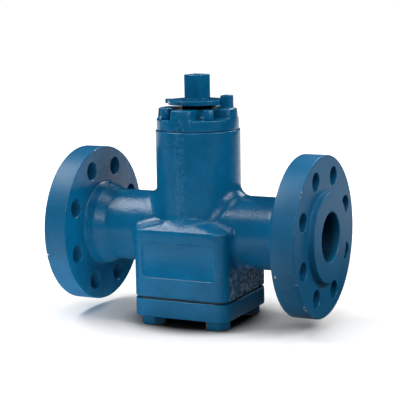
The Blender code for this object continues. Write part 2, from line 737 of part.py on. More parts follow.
def pointer_outline():
    half = POINTER_W / 2
    tip = quarter((half - COLLAR_R - POINTER_L, 0.0), half, 90, 270, 2 * ARC_STEPS)
    root = -COLLAR_R / 2
    return np.array(tip + [(root, -half), (root, half)])


def notch_outline():
    """The quarter of the rim that clears the lug, with its shoulders one fit off the lug's faces."""
    outside = COLLAR_R + 2 * OVERRUN
    start = math.degrees(math.asin(COLLAR_STOP / NOTCH_R))
    floor = quarter((0.0, 0.0), NOTCH_R, -start, 90 + start, 3 * ARC_STEPS)
    return np.array(floor + [(-COLLAR_STOP, outside), (outside, outside), (outside, -COLLAR_STOP)])


def retaining_ring(parts, cutters):
    """Open spring ring in the grooves at the corners of the square."""
    outer = RING_INNER_R + RING_W
    obj = washer("retaining_ring", RING_INNER_R, outer, RING_BOTTOM, RING_BOTTOM + RING_T, parts)
    reach = 2 * outer
    half = reach * math.tan(RING_GAP / 2)
    wedge = np.array([(0.0, 0.0), (reach, -half), (reach, half)])
    rings = [level(wedge, RING_BOTTOM - OVERRUN), level(wedge, RING_BOTTOM + RING_T + OVERRUN)]
    combine(obj, "DIFFERENCE", loft("ring_gap", rings, cutters))
    coat(obj, DARK_STEEL)


def top_cap(parts, cutters):
    """Castellated cap over the stuffing box, with pockets for its screws and the stop lug on one rib."""
    rib_r = CAP_R - CAP_DRAFT
    profile = [(BUSH_R + FIT, CAP_TOP), (rib_r - CAP_EDGE, CAP_TOP)]
    profile += quarter((rib_r - CAP_EDGE, CAP_TOP - CAP_EDGE), CAP_EDGE, 90, 0)[1:]
    bush_floor = CAP_TOP - BUSH_H - 2 * FIT
    profile += [
        (CAP_R, POCKET_FLOOR),
        (CAP_R, CAP_BOTTOM),
        (STUFFING_R - FIT, CAP_BOTTOM),
        (STUFFING_R - FIT, CAP_SPIGOT_BOTTOM),
        (STEM_BORE_R, CAP_SPIGOT_BOTTOM),
        (STEM_BORE_R, bush_floor),
        (BUSH_R + FIT, bush_floor),
    ]
    obj = turned("top_cap", profile, parts, ring=True)
    pockets = [pocket_cutter(i, cutters) for i in range(CAP_SCREWS)]
    bottom = CAP_BOTTOM - OVERRUN
    top = POCKET_FLOOR + OVERRUN
    holes = drills("cap_screw_drills", CAP_SCREW_PLACES, CAP_SCREW_HOLE_D, bottom, top, cutters)
    combine(obj, "DIFFERENCE", *pockets, holes)
    combine(obj, "UNION", lug_form(cutters))
    coat(obj, BLUE_PAINT)


def pocket_cutter(quadrant, cutters):
    """A round-cornered pocket between two ribs, with its floor's edge filleted."""
    near = CAP_RIB_W / 2
    far = CAP_R + 2 * POCKET_CORNER
    centre = (near + far) / 2
    half = (far - near) / 2
    turn = quadrant * math.pi / 2
    spin = np.array([[math.cos(turn), math.sin(turn)], [-math.sin(turn), math.cos(turn)]])
    rings = []
    for angle in (0.0, 45.0, 90.0):
        inset = POCKET_ROOT * (1 - math.sin(math.radians(angle)))
        height = POCKET_FLOOR + POCKET_ROOT * (1 - math.cos(math.radians(angle)))
        outline = rounded_outline(half - inset, half - inset, POCKET_CORNER - inset) + centre
        rings.append(level(outline @ spin, height))
    outline = rounded_outline(half, half, POCKET_CORNER) + centre
    rings.append(level(outline @ spin, CAP_TOP + OVERRUN))
    return loft(f"cap_pocket_{quadrant + 1}", rings, cutters)


def lug_form(cutters):
    """The stop lug, a round-cornered post with upright sides beside the collar and drafted ones above it."""
    middle = np.array([LUG_INNER + LUG_L / 2, 0.0])
    foot = rounded_outline(LUG_L / 2, LUG_W / 2, LUG_CORNER, ARC_STEPS)
    rings = [level(foot + middle, CAP_TOP - OVERRUN), level(foot + middle, COLLAR_TOP)]
    for out, up in quarter((0.0, 0.0), LUG_EDGE, 0, 90):
        inset = LUG_DRAFT + LUG_EDGE - out
        outline = rounded_outline(LUG_L / 2 - inset, LUG_W / 2 - inset, LUG_CORNER - inset, ARC_STEPS)
        rings.append(level(outline + middle, LUG_TOP - LUG_EDGE + up))
    return loft("lug_form", rings, cutters)


def hex_head(name, width, bottom, top, edge, home, edge_below=False):
    """A hexagon whose corners are eased at its outer end."""
    full = hexagon(width)
    eased = full * (1 - edge / width)
    if edge_below:
        rings = [level(eased, bottom), level(full, bottom + edge / 2), level(full, top)]
    else:
        rings = [level(full, bottom), level(full, top - edge / 2), level(eased, top)]
    return loft(name, rings, home)


def rod(name, diameter, bottom, top, home, steps=COARSE):
    profile = [(0.0, top), (diameter / 2, top), (diameter / 2, bottom), (0.0, bottom)]
    return turned(name, profile, home, steps)


def cap_screws(parts, cutters):
    """Tall hexagon screws that pull the cap down on the packing."""
    seat = POCKET_FLOOR + FIT
    obj = rod("cap_screw", CAP_SCREW_D, POCKET_FLOOR - CAP_SCREW_L, seat + OVERRUN, parts)
    top = seat + CAP_SCREW_HEAD_H
    head = hex_head("cap_screw_head", CAP_SCREW_HEAD_W, seat, top, CAP_SCREW_EDGE, cutters)
    combine(obj, "UNION", head)
    coat(obj, BLUE_PAINT)
    settle(obj)
    copies(obj, CAP_SCREW_PLACES, parts)


def cover_outline(inset):
    return rounded_outline(BOX_HALF - inset, BOX_HALF - inset, BOX_CORNER - inset)


def bottom_cover(parts, cutters):
    """Square cover with a spigot in the body's register and a threaded way for the adjusting screw."""
    rings = [
        level(cover_outline(COVER_EDGE), COVER_BOTTOM),
        level(cover_outline(0.0), COVER_BOTTOM + COVER_EDGE),
        level(cover_outline(0.0), COVER_TOP - COVER_EDGE / 2),
        level(cover_outline(COVER_EDGE / 2), COVER_TOP),
    ]
    obj = loft("bottom_cover", rings, parts)
    spigot = rod("cover_spigot", 2 * SPIGOT_R, COVER_TOP - OVERRUN, SPIGOT_TOP, cutters, FINE)
    floor = PAD_BOTTOM - PAD_SLACK
    way = [
        (0.0, SPIGOT_TOP + OVERRUN),
        (PAD_D / 2 + FIT, SPIGOT_TOP + OVERRUN),
        (PAD_D / 2 + FIT, floor),
        (ADJUSTER_D / 2 + FIT, floor),
        (ADJUSTER_D / 2 + FIT, COVER_BOTTOM - OVERRUN),
        (0.0, COVER_BOTTOM - OVERRUN),
    ]
    hole_bottom = COVER_BOTTOM - OVERRUN
    hole_top = COVER_TOP + OVERRUN
    holes = drills("cover_bolt_drills", BOLT_PLACES, BOLT_HOLE_D, hole_bottom, hole_top, cutters)
    combine(obj, "UNION", spigot)
    combine(obj, "DIFFERENCE", turned("cover_way", way, cutters, MEDIUM), holes)
    coat(obj, BLUE_PAINT)


def cover_gasket(parts, cutters):
    """Flat gasket round the spigot, a little smaller than the joint, which so shows as a dark line."""
    top = GASKET_BOTTOM + COVER_GASKET_T
    outline = cover_outline(COVER_GASKET_INSET)
    obj = loft("cover_gasket", [level(outline, GASKET_BOTTOM), level(outline, top)], parts)
    low = GASKET_BOTTOM - OVERRUN
    eye = rod("gasket_eye", 2 * REGISTER_R, low, top + OVERRUN, cutters, FINE)
    holes = drills("gasket_bolt_drills", BOLT_PLACES, BOLT_HOLE_D, low, top + OVERRUN, cutters)
    combine(obj, "DIFFERENCE", eye, holes)
    coat(obj, GRAPHITE)


def cover_bolts(parts, cutters):
    """Hexagon bolts driven up from below. The valve stands on their heads."""
    top = BODY_BOTTOM + BOLT_GRIP_IN_BODY
    obj = rod("cover_bolt", BOLT_D, HEAD_TOP - OVERRUN, top, parts)
    head = hex_head("cover_bolt_head", BOLT_HEAD_W, 0.0, HEAD_TOP, BOLT_HEAD_EDGE, cutters, edge_below=True)
    combine(obj, "UNION", head)
    coat(obj, BLUE_PAINT)
    settle(obj)
    copies(obj, BOLT_PLACES, parts)


def thrust_ball(parts):
    shape = bmesh.new()
    bmesh.ops.create_uvsphere(shape, u_segments=COARSE, v_segments=COARSE // 2, radius=BALL_D / 2)
    obj = place_mesh("thrust_ball", shape, parts)
    obj.location = (0.0, 0.0, BALL_CENTRE)
    coat(obj, HARD_STEEL)


def adjusting_screw(parts, cutters):
    """Screw that lifts the plug in its seat, with a key hole in its outer end."""
    bottom = ADJUSTER_CLEAR
    obj = rod("adjusting_screw", ADJUSTER_D, bottom, PAD_BOTTOM - FIT, parts, MEDIUM)
    key = hexagon(ADJUSTER_KEY_W)
    rings = [level(key, bottom - OVERRUN), level(key, bottom + ADJUSTER_KEY_DEPTH)]
    combine(obj, "DIFFERENCE", loft("adjuster_key", rings, cutters))
    coat(obj, MACHINED_STEEL)


def lock_nut(parts, cutters):
    """Nut that locks the adjusting screw under the cover, as tall as the bolt heads leave room for."""
    top = COVER_BOTTOM - FIT
    obj = hex_head("lock_nut", LOCK_NUT_W, LOCK_NUT_CLEAR, top, LOCK_NUT_EDGE, parts, edge_below=True)
    bore = ADJUSTER_D + 2 * FIT
    eye = rod("lock_nut_eye", bore, LOCK_NUT_CLEAR - OVERRUN, top + OVERRUN, cutters, MEDIUM)
    combine(obj, "DIFFERENCE", eye)
    coat(obj, BLUE_PAINT)


def rings_and_washers(parts):
    """The plain turned pieces round the stem and under the plug."""
    thrust = washer(
        "thrust_washer",
        STEM_BORE_R,
        COUPLING_R,
        THRUST_WASHER_BOTTOM,
        THRUST_WASHER_BOTTOM + THRUST_WASHER_T,
        parts,
    )
    coat(thrust, BRONZE)
    packing_outer = STUFFING_R - FIT
    base = washer(
        "packing_washer",
        STEM_BORE_R,
        packing_outer,
        PACKING_WASHER_BOTTOM,
        PACKING_WASHER_BOTTOM + PACKING_WASHER_T,
        parts,
    )
    coat(base, MACHINED_STEEL)
    for i in range(PACKING_RINGS):
        bottom = PACKING_BOTTOM + i * (PACKING_H + FIT)
        ring = washer(f"packing_ring_{i + 1}", STEM_BORE_R, packing_outer, bottom, bottom + PACKING_H, parts)
        coat(ring, GRAPHITE)
    bush_top = CAP_TOP - FIT
    bush = washer("stem_bush", STEM_BORE_R, BUSH_R, bush_top - BUSH_H, bush_top, parts)
    coat(bush, BRONZE)
    seal_outer = STEM_BORE_R + SEAL_WALL
    seal = washer("weather_seal", STEM_BORE_R, seal_outer, SEAL_BOTTOM, SEAL_BOTTOM + SEAL_H, parts)
    coat(seal, BLACK_RUBBER)
    pad = rod("thrust_pad", PAD_D, PAD_BOTTOM, PAD_TOP, parts, MEDIUM)
    coat(pad, HARD_STEEL)


def turning_group(parts):
    """An empty on the stem axis that carries every piece which turns with the stem."""
    axis = bpy.data.objects.new("turning_group", None)
    axis.location = (0.0, 0.0, PIPE_Z)
    parts.objects.link(axis)
    bpy.context.view_layer.update()
    for name in ("plug", "coupling_ring", "stem", "sealant_screw", "stop_collar", "retaining_ring"):
        piece = bpy.data.objects[name]
        piece.parent = axis
        piece.matrix_parent_inverse = axis.matrix_world.inverted()


def main():
    clear_scene()
    parts = new_collection("plug_valve")
    cutters = new_collection("valve_cutters")
    body(parts, cutters)
    bottom_cover(parts, cutters)
    cover_gasket(parts, cutters)
    thrust_ball(parts)
    adjusting_screw(parts, cutters)
    lock_nut(parts, cutters)
    rings_and_washers(parts)
    plug(parts, cutters)
    coupling_ring(parts, cutters)
    stem(parts, cutters)
    sealant_screw(parts, cutters)
    top_cap(parts, cutters)
    stop_collar(parts, cutters)
    retaining_ring(parts, cutters)
    for obj in list(parts.objects):
        settle(obj)
    cap_screws(parts, cutters)
    cover_bolts(parts, cutters)
    turning_group(parts)
    for cutter in cutters.objects:
        cutter.hide_render = True
        cutter.display_type = "WIRE"


main()
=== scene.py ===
"""A two inch plug valve with flanged ends, painted blue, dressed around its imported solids."""

import math

import bmesh
import bpy
import numpy as np
from bpy.props import FloatProperty, FloatVectorProperty, PointerProperty
from bpy.types import Operator, Panel, PropertyGroup
from mathutils import Matrix, Vector


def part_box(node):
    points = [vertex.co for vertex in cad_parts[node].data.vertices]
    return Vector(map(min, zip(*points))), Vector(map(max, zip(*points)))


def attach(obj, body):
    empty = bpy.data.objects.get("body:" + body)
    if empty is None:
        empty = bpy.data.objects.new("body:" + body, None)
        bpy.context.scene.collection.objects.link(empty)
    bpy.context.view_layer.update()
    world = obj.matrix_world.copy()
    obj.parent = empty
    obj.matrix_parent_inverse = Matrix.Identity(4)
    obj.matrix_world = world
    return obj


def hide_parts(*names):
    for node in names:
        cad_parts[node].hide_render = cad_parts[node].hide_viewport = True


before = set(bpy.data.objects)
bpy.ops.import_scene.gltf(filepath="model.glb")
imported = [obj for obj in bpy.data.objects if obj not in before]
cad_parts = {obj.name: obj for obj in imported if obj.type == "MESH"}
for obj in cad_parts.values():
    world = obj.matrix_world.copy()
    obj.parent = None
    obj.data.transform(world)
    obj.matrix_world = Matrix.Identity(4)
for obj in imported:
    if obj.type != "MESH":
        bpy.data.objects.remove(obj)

bl_info = {
    "name": "Plug Valve",
    "version": (1, 0, 0),
    "blender": (4, 5, 0),
    "location": "3D View > Sidebar > Valve",
    "description": "Builds a painted plug valve piece by piece around its packed solids",
    "category": "Object",
}

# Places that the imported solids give
BOX = {name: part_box(name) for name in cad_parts}
FIT = 0.0003
FLANGE_RADIUS = BOX["body"][1].y
PIPE_HEIGHT = BOX["body"][0].z + FLANGE_RADIUS
BODY_TOP = BOX["body"][1].z - PIPE_HEIGHT
BODY_BOTTOM = BOX["cover_gasket"][1].z + FIT - PIPE_HEIGHT
PIPE_END = BOX["body"][1].x
BOX_HALF = BOX["bottom_cover"][1].x
CAP_RADIUS = BOX["top_cap"][1].y
CAP_TOP = BOX["stem_bush"][1].z + FIT
COVER_BOTTOM = BOX["bottom_cover"][0].z
SQUARE_TOP = BOX["stem"][1].z
BOLT_REACH = BOX["cover_bolt_1"][1].y / 2 + BOX["cover_bolt_1"][0].y / 2

# How finely the surfaces are worked out
WELD = 2e-6  # points closer than this become one
HAIR = 1e-5  # step for slopes, and the smallest fillet
HALVINGS = 30
ROUND = 144
EDGE_STEPS = 5
SHARP = math.radians(38)  # edges that turn more stay sharp
OVER = 0.001  # how far a cutting tool reaches past the metal

# Sizes in metres that several functions share
BOLT_HOLE = 0.00824
BOLT_SHANK = 0.0079375
BOLT_HEAD = 0.0238
SCREW_HOLE = 0.00425
SCREW_SHANK = 0.00395
SCREW_HEAD = 0.0095
NUT_WIDTH = 0.024
SEAL_WALL = 0.0016
RING_BORE = 0.01207
SEALANT_WAY = 0.0025
STUD_HOLE = 0.009525
STUD_CIRCLE = 0.0635
SEAT_RADIUS = 0.034
SEAT_SLOPE = 12  # height over which the seat's radius changes by one
PORT_HALF_WIDTH = 0.014
PORT_HALF_HEIGHT = 0.025


def length_setting(name, description, default):
    """A length that a user can set."""
    return FloatProperty(name=name, description=description, default=default, unit="LENGTH")


def angle_setting(name, description, default):
    """An angle that a user can set."""
    return FloatProperty(name=name, description=description, default=default, subtype="ANGLE")


def strength_setting(name, description, default):
    """The power of a lamp, or the strength of the room's light."""
    return FloatProperty(name=name, description=description, default=default, min=0.0)


def colour_setting(name, description, default):
    """A colour that a user can set."""
    return FloatVectorProperty(name=name, description=description, default=default, subtype="COLOR", size=3)


class CastingSizes(PropertyGroup):
    """Sizes of the body casting."""

    neck_radius: length_setting("Neck radius", "Outside radius of the round necks beside the barrel", 0.0375)
    hub_radius: length_setting("Hub radius", "Radius of the raised hub behind each flange", 0.044)
    hub_start: length_setting(
        "Hub start", "Distance from the stem axis at which the hub rises from the neck", 0.093
    )
    flange_thickness: length_setting(
        "Flange thickness", "Thickness of a flange without its raised face", 0.0254
    )
    raised_radius: length_setting(
        "Raised face radius", "Radius of the raised face that a gasket seals on", 0.04605
    )
    raised_height: length_setting(
        "Raised face height", "How far the raised face stands off its flange", 0.00635
    )
    bore_radius: length_setting("Bore radius", "Radius of the bore at the flanges", 0.0254)
    barrel_radius: length_setting("Barrel radius", "Radius of the upright barrel", 0.04395)
    box_corner: length_setting("Box corner", "Radius of the upright corners of the square box", 0.013)
    box_rise: length_setting("Box rise", "Height of the box's straight sides above the pipe axis", 0.0045)
    shoulder_rise: length_setting(
        "Shoulder rise", "Height of the rounded shoulder between box and barrel", 0.0094
    )
    neck_blend: length_setting("Neck blend", "Radius of the fillet where a neck leaves the barrel", 0.014)
    box_blend: length_setting("Box blend", "Radius of the fillet where a neck leaves the box", 0.008)


class CapSizes(PropertyGroup):
    """Sizes of the castellated cap and the stop lug on it."""

    rib_half_width: length_setting(
        "Rib half width", "Half the width of the four ribs that form a cross", 0.0115
    )
    pocket_corner: length_setting("Pocket corner", "Radius of the inner corner of each screw pocket", 0.009)
    rib_depth: length_setting("Rib depth", "Height of the ribs above the pocket floors", 0.0103)
    draft: length_setting("Draft", "How far the rim draws in from the pocket floors to the top", 0.001)
    lug_length: length_setting("Lug length", "Length of the stop lug along the rib", 0.011)
    lug_width: length_setting("Lug width", "Width of the stop lug across the rib", 0.012)


class StemSizes(PropertyGroup):
    """Sizes of the wrench square and of the collar on it."""

    square_width: length_setting("Square width", "Width across the flats of the wrench square", 0.0208)
    square_corner: length_setting(
        "Square corner", "How much is cut off each corner of the square, along a side", 0.002
    )
    square_turn: angle_setting(
        "Square turn", "Turn of the square about the stem axis with the valve open", math.radians(-10)
    )
    notch_radius: length_setting(
        "Notch radius", "Radius of the collar where it is cut back to clear the lug", 0.0275
    )
    pointer_width: length_setting("Pointer width", "Width of the pointer on the collar's rim", 0.006)


class FinishColours(PropertyGroup):
    """Colours of the paint and of the bare metals."""

    paint: colour_setting(
        "Paint", "Colour of the blue enamel on the casting and its fittings", (0.001, 0.101, 0.226)
    )
    primer: colour_setting(
        "Primer", "Colour that shows where the enamel has chipped off an edge", (0.66, 0.68, 0.68)
    )
    machined: colour_setting("Machined steel", "Colour of turned and milled steel", (0.42, 0.43, 0.45))
    bronze: colour_setting("Bronze", "Colour of the bush and the thrust washer", (0.50, 0.31, 0.12))


class StudioSettings(PropertyGroup):
    """Lamps and camera of the stage."""

    key_power: strength_setting("Key lamp", "Power of the soft lamp high up at the left, in watts", 13.0)
    top_power: strength_setting("Top lamp", "Power of the wide lamp overhead, in watts", 2.8)
    front_power: strength_setting("Front lamp", "Power of the lamp above the camera, in watts", 5.0)
    right_power: strength_setting("Right lamp", "Power of the lamp at the right, in watts", 14.0)
    back_power: strength_setting("Back lamp", "Power of the lamp behind the valve, in watts", 9.0)
    surround: strength_setting("Surround", "Strength of the pale room around the valve", 0.17)
    sheen: strength_setting("Sheen", "How bright the room shows in shiny surfaces", 0.02)
    camera_azimuth: angle_setting(
        "Camera azimuth", "Turn of the camera about the stem axis, from the front to the right", math.radians(26.33)
    )
    camera_elevation: angle_setting(
        "Camera elevation", "Height of the camera above the floor, as an angle", math.radians(9.02)
    )
    camera_roll: angle_setting("Camera roll", "Lean of the camera about the line of sight", math.radians(-1.12))
    camera_distance: length_setting(
        "Camera distance", "Distance from the camera to the point that it looks at", 1.391
    )


# Lines and outlines


def rounded(corners, radii, steps=EDGE_STEPS, closed=False):
    """A line through corners, each turned into an arc that touches both of its sides.

    An arc leaves a side at its radius times the tangent of half the turn from the corner, and its points are
    that radius from the arc's centre, which lies on the line that halves the corner.
    """
    corners = np.asarray(corners, float)
    before = np.roll(corners, 1, axis=0)
    after = np.roll(corners, -1, axis=0)
    line = []
    for i, (corner, radius) in enumerate(zip(corners, radii)):
        if radius == 0 or (not closed and i in (0, len(corners) - 1)):
            line.append(corner[None])
            continue
        back = (before[i] - corner) / np.linalg.norm(before[i] - corner)
        ahead = (after[i] - corner) / np.linalg.norm(after[i] - corner)
        turn = math.pi - math.acos(np.clip(back @ ahead, -1.0, 1.0))
        setback = radius * math.tan(turn / 2)
        halving = (back + ahead) / np.linalg.norm(back + ahead)
        centre = corner + halving * radius / math.cos(turn / 2)
        start = corner + back * setback - centre
        end = corner + ahead * setback - centre
        share = np.linspace(0.0, 1.0, steps + 1)[:, None]
        line.append(centre + (np.sin((1 - share) * turn) * start + np.sin(share * turn) * end) / math.sin(turn))
    return np.vstack(line)


def around(count):
    """Angles once round, the first repeated at the end."""
    return np.linspace(0.0, 2 * math.pi, count + 1)


def arc(radius, start, end, steps):
    """Points (x, y) on a circle about the origin, between two angles."""
    turn = np.linspace(start, end, steps + 1)
    return radius * np.column_stack([np.cos(turn), np.sin(turn)])


def inward(outline, distance):
    """An outline moved inwards along its own normals, which stand across the chord between neighbours.

    The outline runs anticlockwise and doesn't repeat its first point.
    """
    chord = np.roll(outline, -1, axis=0) - np.roll(outline, 1, axis=0)
    chord /= np.linalg.norm(chord, axis=1)[:, None]
    return outline + distance * np.column_stack([-chord[:, 1], chord[:, 0]])


def cut_square(width, corner, turn, ease=0.0006):
    """Outline of a square whose corners are cut off at 45 degrees and eased, turned about its middle."""
    half = width / 2
    flat = half - corner
    quarter = np.array([(half, -flat), (half, flat), (flat, half), (-flat, half)])
    points = rounded(np.vstack([quarter, -quarter]), [ease] * 8, 3, closed=True)
    return points @ np.array([[math.cos(turn), math.sin(turn)], [-math.sin(turn), math.cos(turn)]])


def eased_line(corners, steps):
    """A line through corners that are given as (radius, height, radius of the arc there)."""
    corners = np.array(corners)
    return rounded(corners[:, :2], corners[:, 2], steps)


def rounded_rectangle(half_x, half_y, corner, steps=8):
    """Outline of a rectangle with round corners, anticlockwise."""
    points = [(half_x, -half_y), (half_x, half_y), (-half_x, half_y), (-half_x, -half_y)]
    return rounded(points, [corner] * 4, steps, closed=True)


# Grids of points and the meshes made of them


def swept(rows, turns):
    """Rows of (radius, height) carried round the upright axis: x and y are the radius times the cosine and sine
    of the turn. Either of the two may also be given turn by turn."""
    radius, height = (np.stack([np.broadcast_to(row[part], turns.shape) for row in rows]) for part in (0, 1))
    return np.stack([radius * np.cos(turns), radius * np.sin(turns), height], axis=-1)


def stack(outlines, heights):
    """Outlines of one count of points set one above the other, each closed on its first point."""
    rows = []
    for outline, height in zip(outlines, heights):
        ring = np.vstack([outline, outline[:1]])
        rows.append(np.column_stack([ring, np.full(len(ring), height)]))
    return np.stack(rows)


def skin(name, *grids, lids=()):
    """One closed mesh: each cell of a grid of points is a face, each lid a flat face over a ring of points,
    and points that meet become one. Faces are then turned outwards."""
    points = []
    faces = []
    start = 0
    for grid in grids:
        rows, columns = grid.shape[:2]
        number = start + np.arange(rows * columns).reshape(rows, columns)
        cells = [number[:-1, :-1], number[:-1, 1:], number[1:, 1:], number[1:, :-1]]
        faces += np.stack(cells, axis=-1).reshape(-1, 4).tolist()
        points.append(grid.reshape(-1, 3))
        start += rows * columns
    for lid in lids:
        faces.append(list(range(start, start + len(lid))))
        points.append(np.asarray(lid))
        start += len(lid)
    mesh = bpy.data.meshes.new(name)
    mesh.from_pydata(np.vstack(points), [], faces)
    shape = bmesh.new()
    shape.from_mesh(mesh)
    bmesh.ops.remove_doubles(shape, verts=shape.verts, dist=WELD)
    bmesh.ops.recalc_face_normals(shape, faces=shape.faces)
    shape.to_mesh(mesh)
    shape.free()
    made = bpy.data.objects.new(name, mesh)
    bpy.context.scene.collection.objects.link(made)
    return made


def turned(name, profile, count=ROUND, closed=False):
    """A solid of revolution. A closed profile makes a ring, an open one starts and ends on the axis."""
    profile = np.asarray(profile, float)
    if closed:
        profile = np.vstack([profile, profile[:1]])
    return skin(name, swept(profile, around(count)))


def lidded(name, grid):
    """A solid over one grid, with a flat lid at both ends."""
    return skin(name, grid, lids=(grid[0, :-1], grid[-1, :-1]))


def column(name, outlines, heights):
    """A solid through a stack of outlines."""
    return lidded(name, stack(outlines, heights))


def lying(name, outlines, places):
    """A solid through (y, z) outlines about the pipe axis, set at places along it."""
    return lidded(name, stack(outlines, places)[..., [2, 0, 1]] + np.array([0.0, 0.0, PIPE_HEIGHT]))


def edged_plate(name, outline, low, high, edge):
    """A plate whose outline draws in over a quarter circle at its lower and upper rims."""
    lean = np.linspace(0.0, math.pi / 2, EDGE_STEPS + 1)
    draw_in = edge * (1 - np.sin(lean))
    climb = edge * (1 - np.cos(lean))
    draws = np.concatenate([draw_in, draw_in[::-1]])
    heights = np.concatenate([low + climb, (high - climb)[::-1]])
    return column(name, [inward(outline, draw) for draw in draws], heights)


def moved(made, shift=(0.0, 0.0, 0.0), matrix=None):
    """Moves or turns a mesh inside its object, which stays at the origin."""
    made.data.transform(matrix if matrix is not None else Matrix.Translation(shift))
    return made


def joined(name, parts):
    """Several separate meshes as one object."""
    shape = bmesh.new()
    for part in parts:
        shape.from_mesh(part.data)
        bpy.data.objects.remove(part)
    mesh = bpy.data.meshes.new(name)
    shape.to_mesh(mesh)
    shape.free()
    made = bpy.data.objects.new(name, mesh)
    bpy.context.scene.collection.objects.link(made)
    return made


def shaped(made, operation, *tools):
    """Adds or takes away each tool in turn, and keeps the result as the piece's own mesh."""
    for tool in tools:
        step = made.modifiers.new(tool.name, "BOOLEAN")
        step.operation = operation
        step.solver = "MANIFOLD"
        step.object = tool
    bpy.context.view_layer.update()
    result = bpy.data.meshes.new_from_object(made.evaluated_get(bpy.context.evaluated_depsgraph_get()))
    made.modifiers.clear()
    made.data = result
    result.name = made.name
    for tool in tools:
        bpy.data.objects.remove(tool)
    return made


def drill(name, radius, low, high, flare, count):
    """An upright drill for a hole with eased mouths at both ends, where it passes the given heights."""
    profile = [
        (0.0, low - OVER),
        (radius + flare + OVER, low - OVER),
        (radius, low + flare),
        (radius, high - flare),
        (radius + flare + OVER, high + OVER),
        (0.0, high + OVER),
    ]
    return turned(name, profile, count)


def bored(places, radius, low, high, flare=0.0004, count=48):
    """A drill at each place."""
    drills = [moved(drill("drill", radius, low, high, flare, count), (x, y, 0.0)) for x, y in places]
    return joined("drills", drills)


def finished(made, body, material, nodes):
    """Gives a piece its finish and smooth shading, and sets it on the body that it moves with."""
    mesh = made.data
    mesh.materials.clear()
    mesh.materials.append(material)
    mesh.shade_smooth()
    mesh.set_sharp_from_angle(angle=SHARP)
    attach(made, body)
    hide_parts(*nodes)
    return made


# Forms given as fields, which say how far a point lies outside


def square_field(x, y, half, corner):
    """Distance to a square with round corners: the distance past the corner's centre, less its radius."""
    past_x = np.abs(x) - (half - corner)
    past_y = np.abs(y) - (half - corner)
    outside = np.hypot(np.maximum(past_x, 0.0), np.maximum(past_y, 0.0))
    return outside + np.minimum(np.maximum(past_x, past_y), 0.0) - corner


def joined_field(a, b, radius):
    """Two forms in one, with a fillet in the corner between them.

    Within the radius of both, the surface is where the distances to the two forms, taken as the sides of a
    right angle from the fillet's centre, come to the radius.
    """
    inside = np.hypot(np.maximum(radius - a, 0.0), np.maximum(radius - b, 0.0))
    return np.maximum(radius, np.minimum(a, b)) - inside


def common_field(a, b, radius):
    """What two forms share, with the edge between them rounded."""
    return -joined_field(-a, -b, radius)


def normal_of(field, points):
    """Direction in which a field grows fastest, from its values a hair to both sides of each point."""
    steps = HAIR * np.eye(3)
    growth = np.stack([field(points + step) - field(points - step) for step in steps], axis=-1)
    return growth / np.maximum(np.linalg.norm(growth, axis=-1, keepdims=True), HAIR * HAIR)


def cast_out(field, start, direction, far):
    """Where rays from inside a form leave it, by halving the stretch between an inner and an outer point."""
    near = np.zeros(direction.shape[:-1])
    away = np.full(direction.shape[:-1], far)
    for _ in range(HALVINGS):
        middle = (near + away) / 2
        outside = field(start + middle[..., None] * direction) > 0
        near = np.where(outside, near, middle)
        away = np.where(outside, middle, away)
    return start + away[..., None] * direction


def eased(value, low, high):
    """0 below low, 1 above high, and 3t^2 - 2t^3 of the share t between them."""
    share = np.clip((value - low) / (high - low), 0.0, 1.0)
    return share * share * (3 - 2 * share)


SHOULDER_POWER = 1.35
SHOULDER_EDGE = 0.0014
SHOULDER_ROOT = 0.007
SHOULDER_INSET = 0.002
RAY_REACH = 0.12
SEAM_HEIGHT = 0.0004
SEAM_REACH = 0.0045


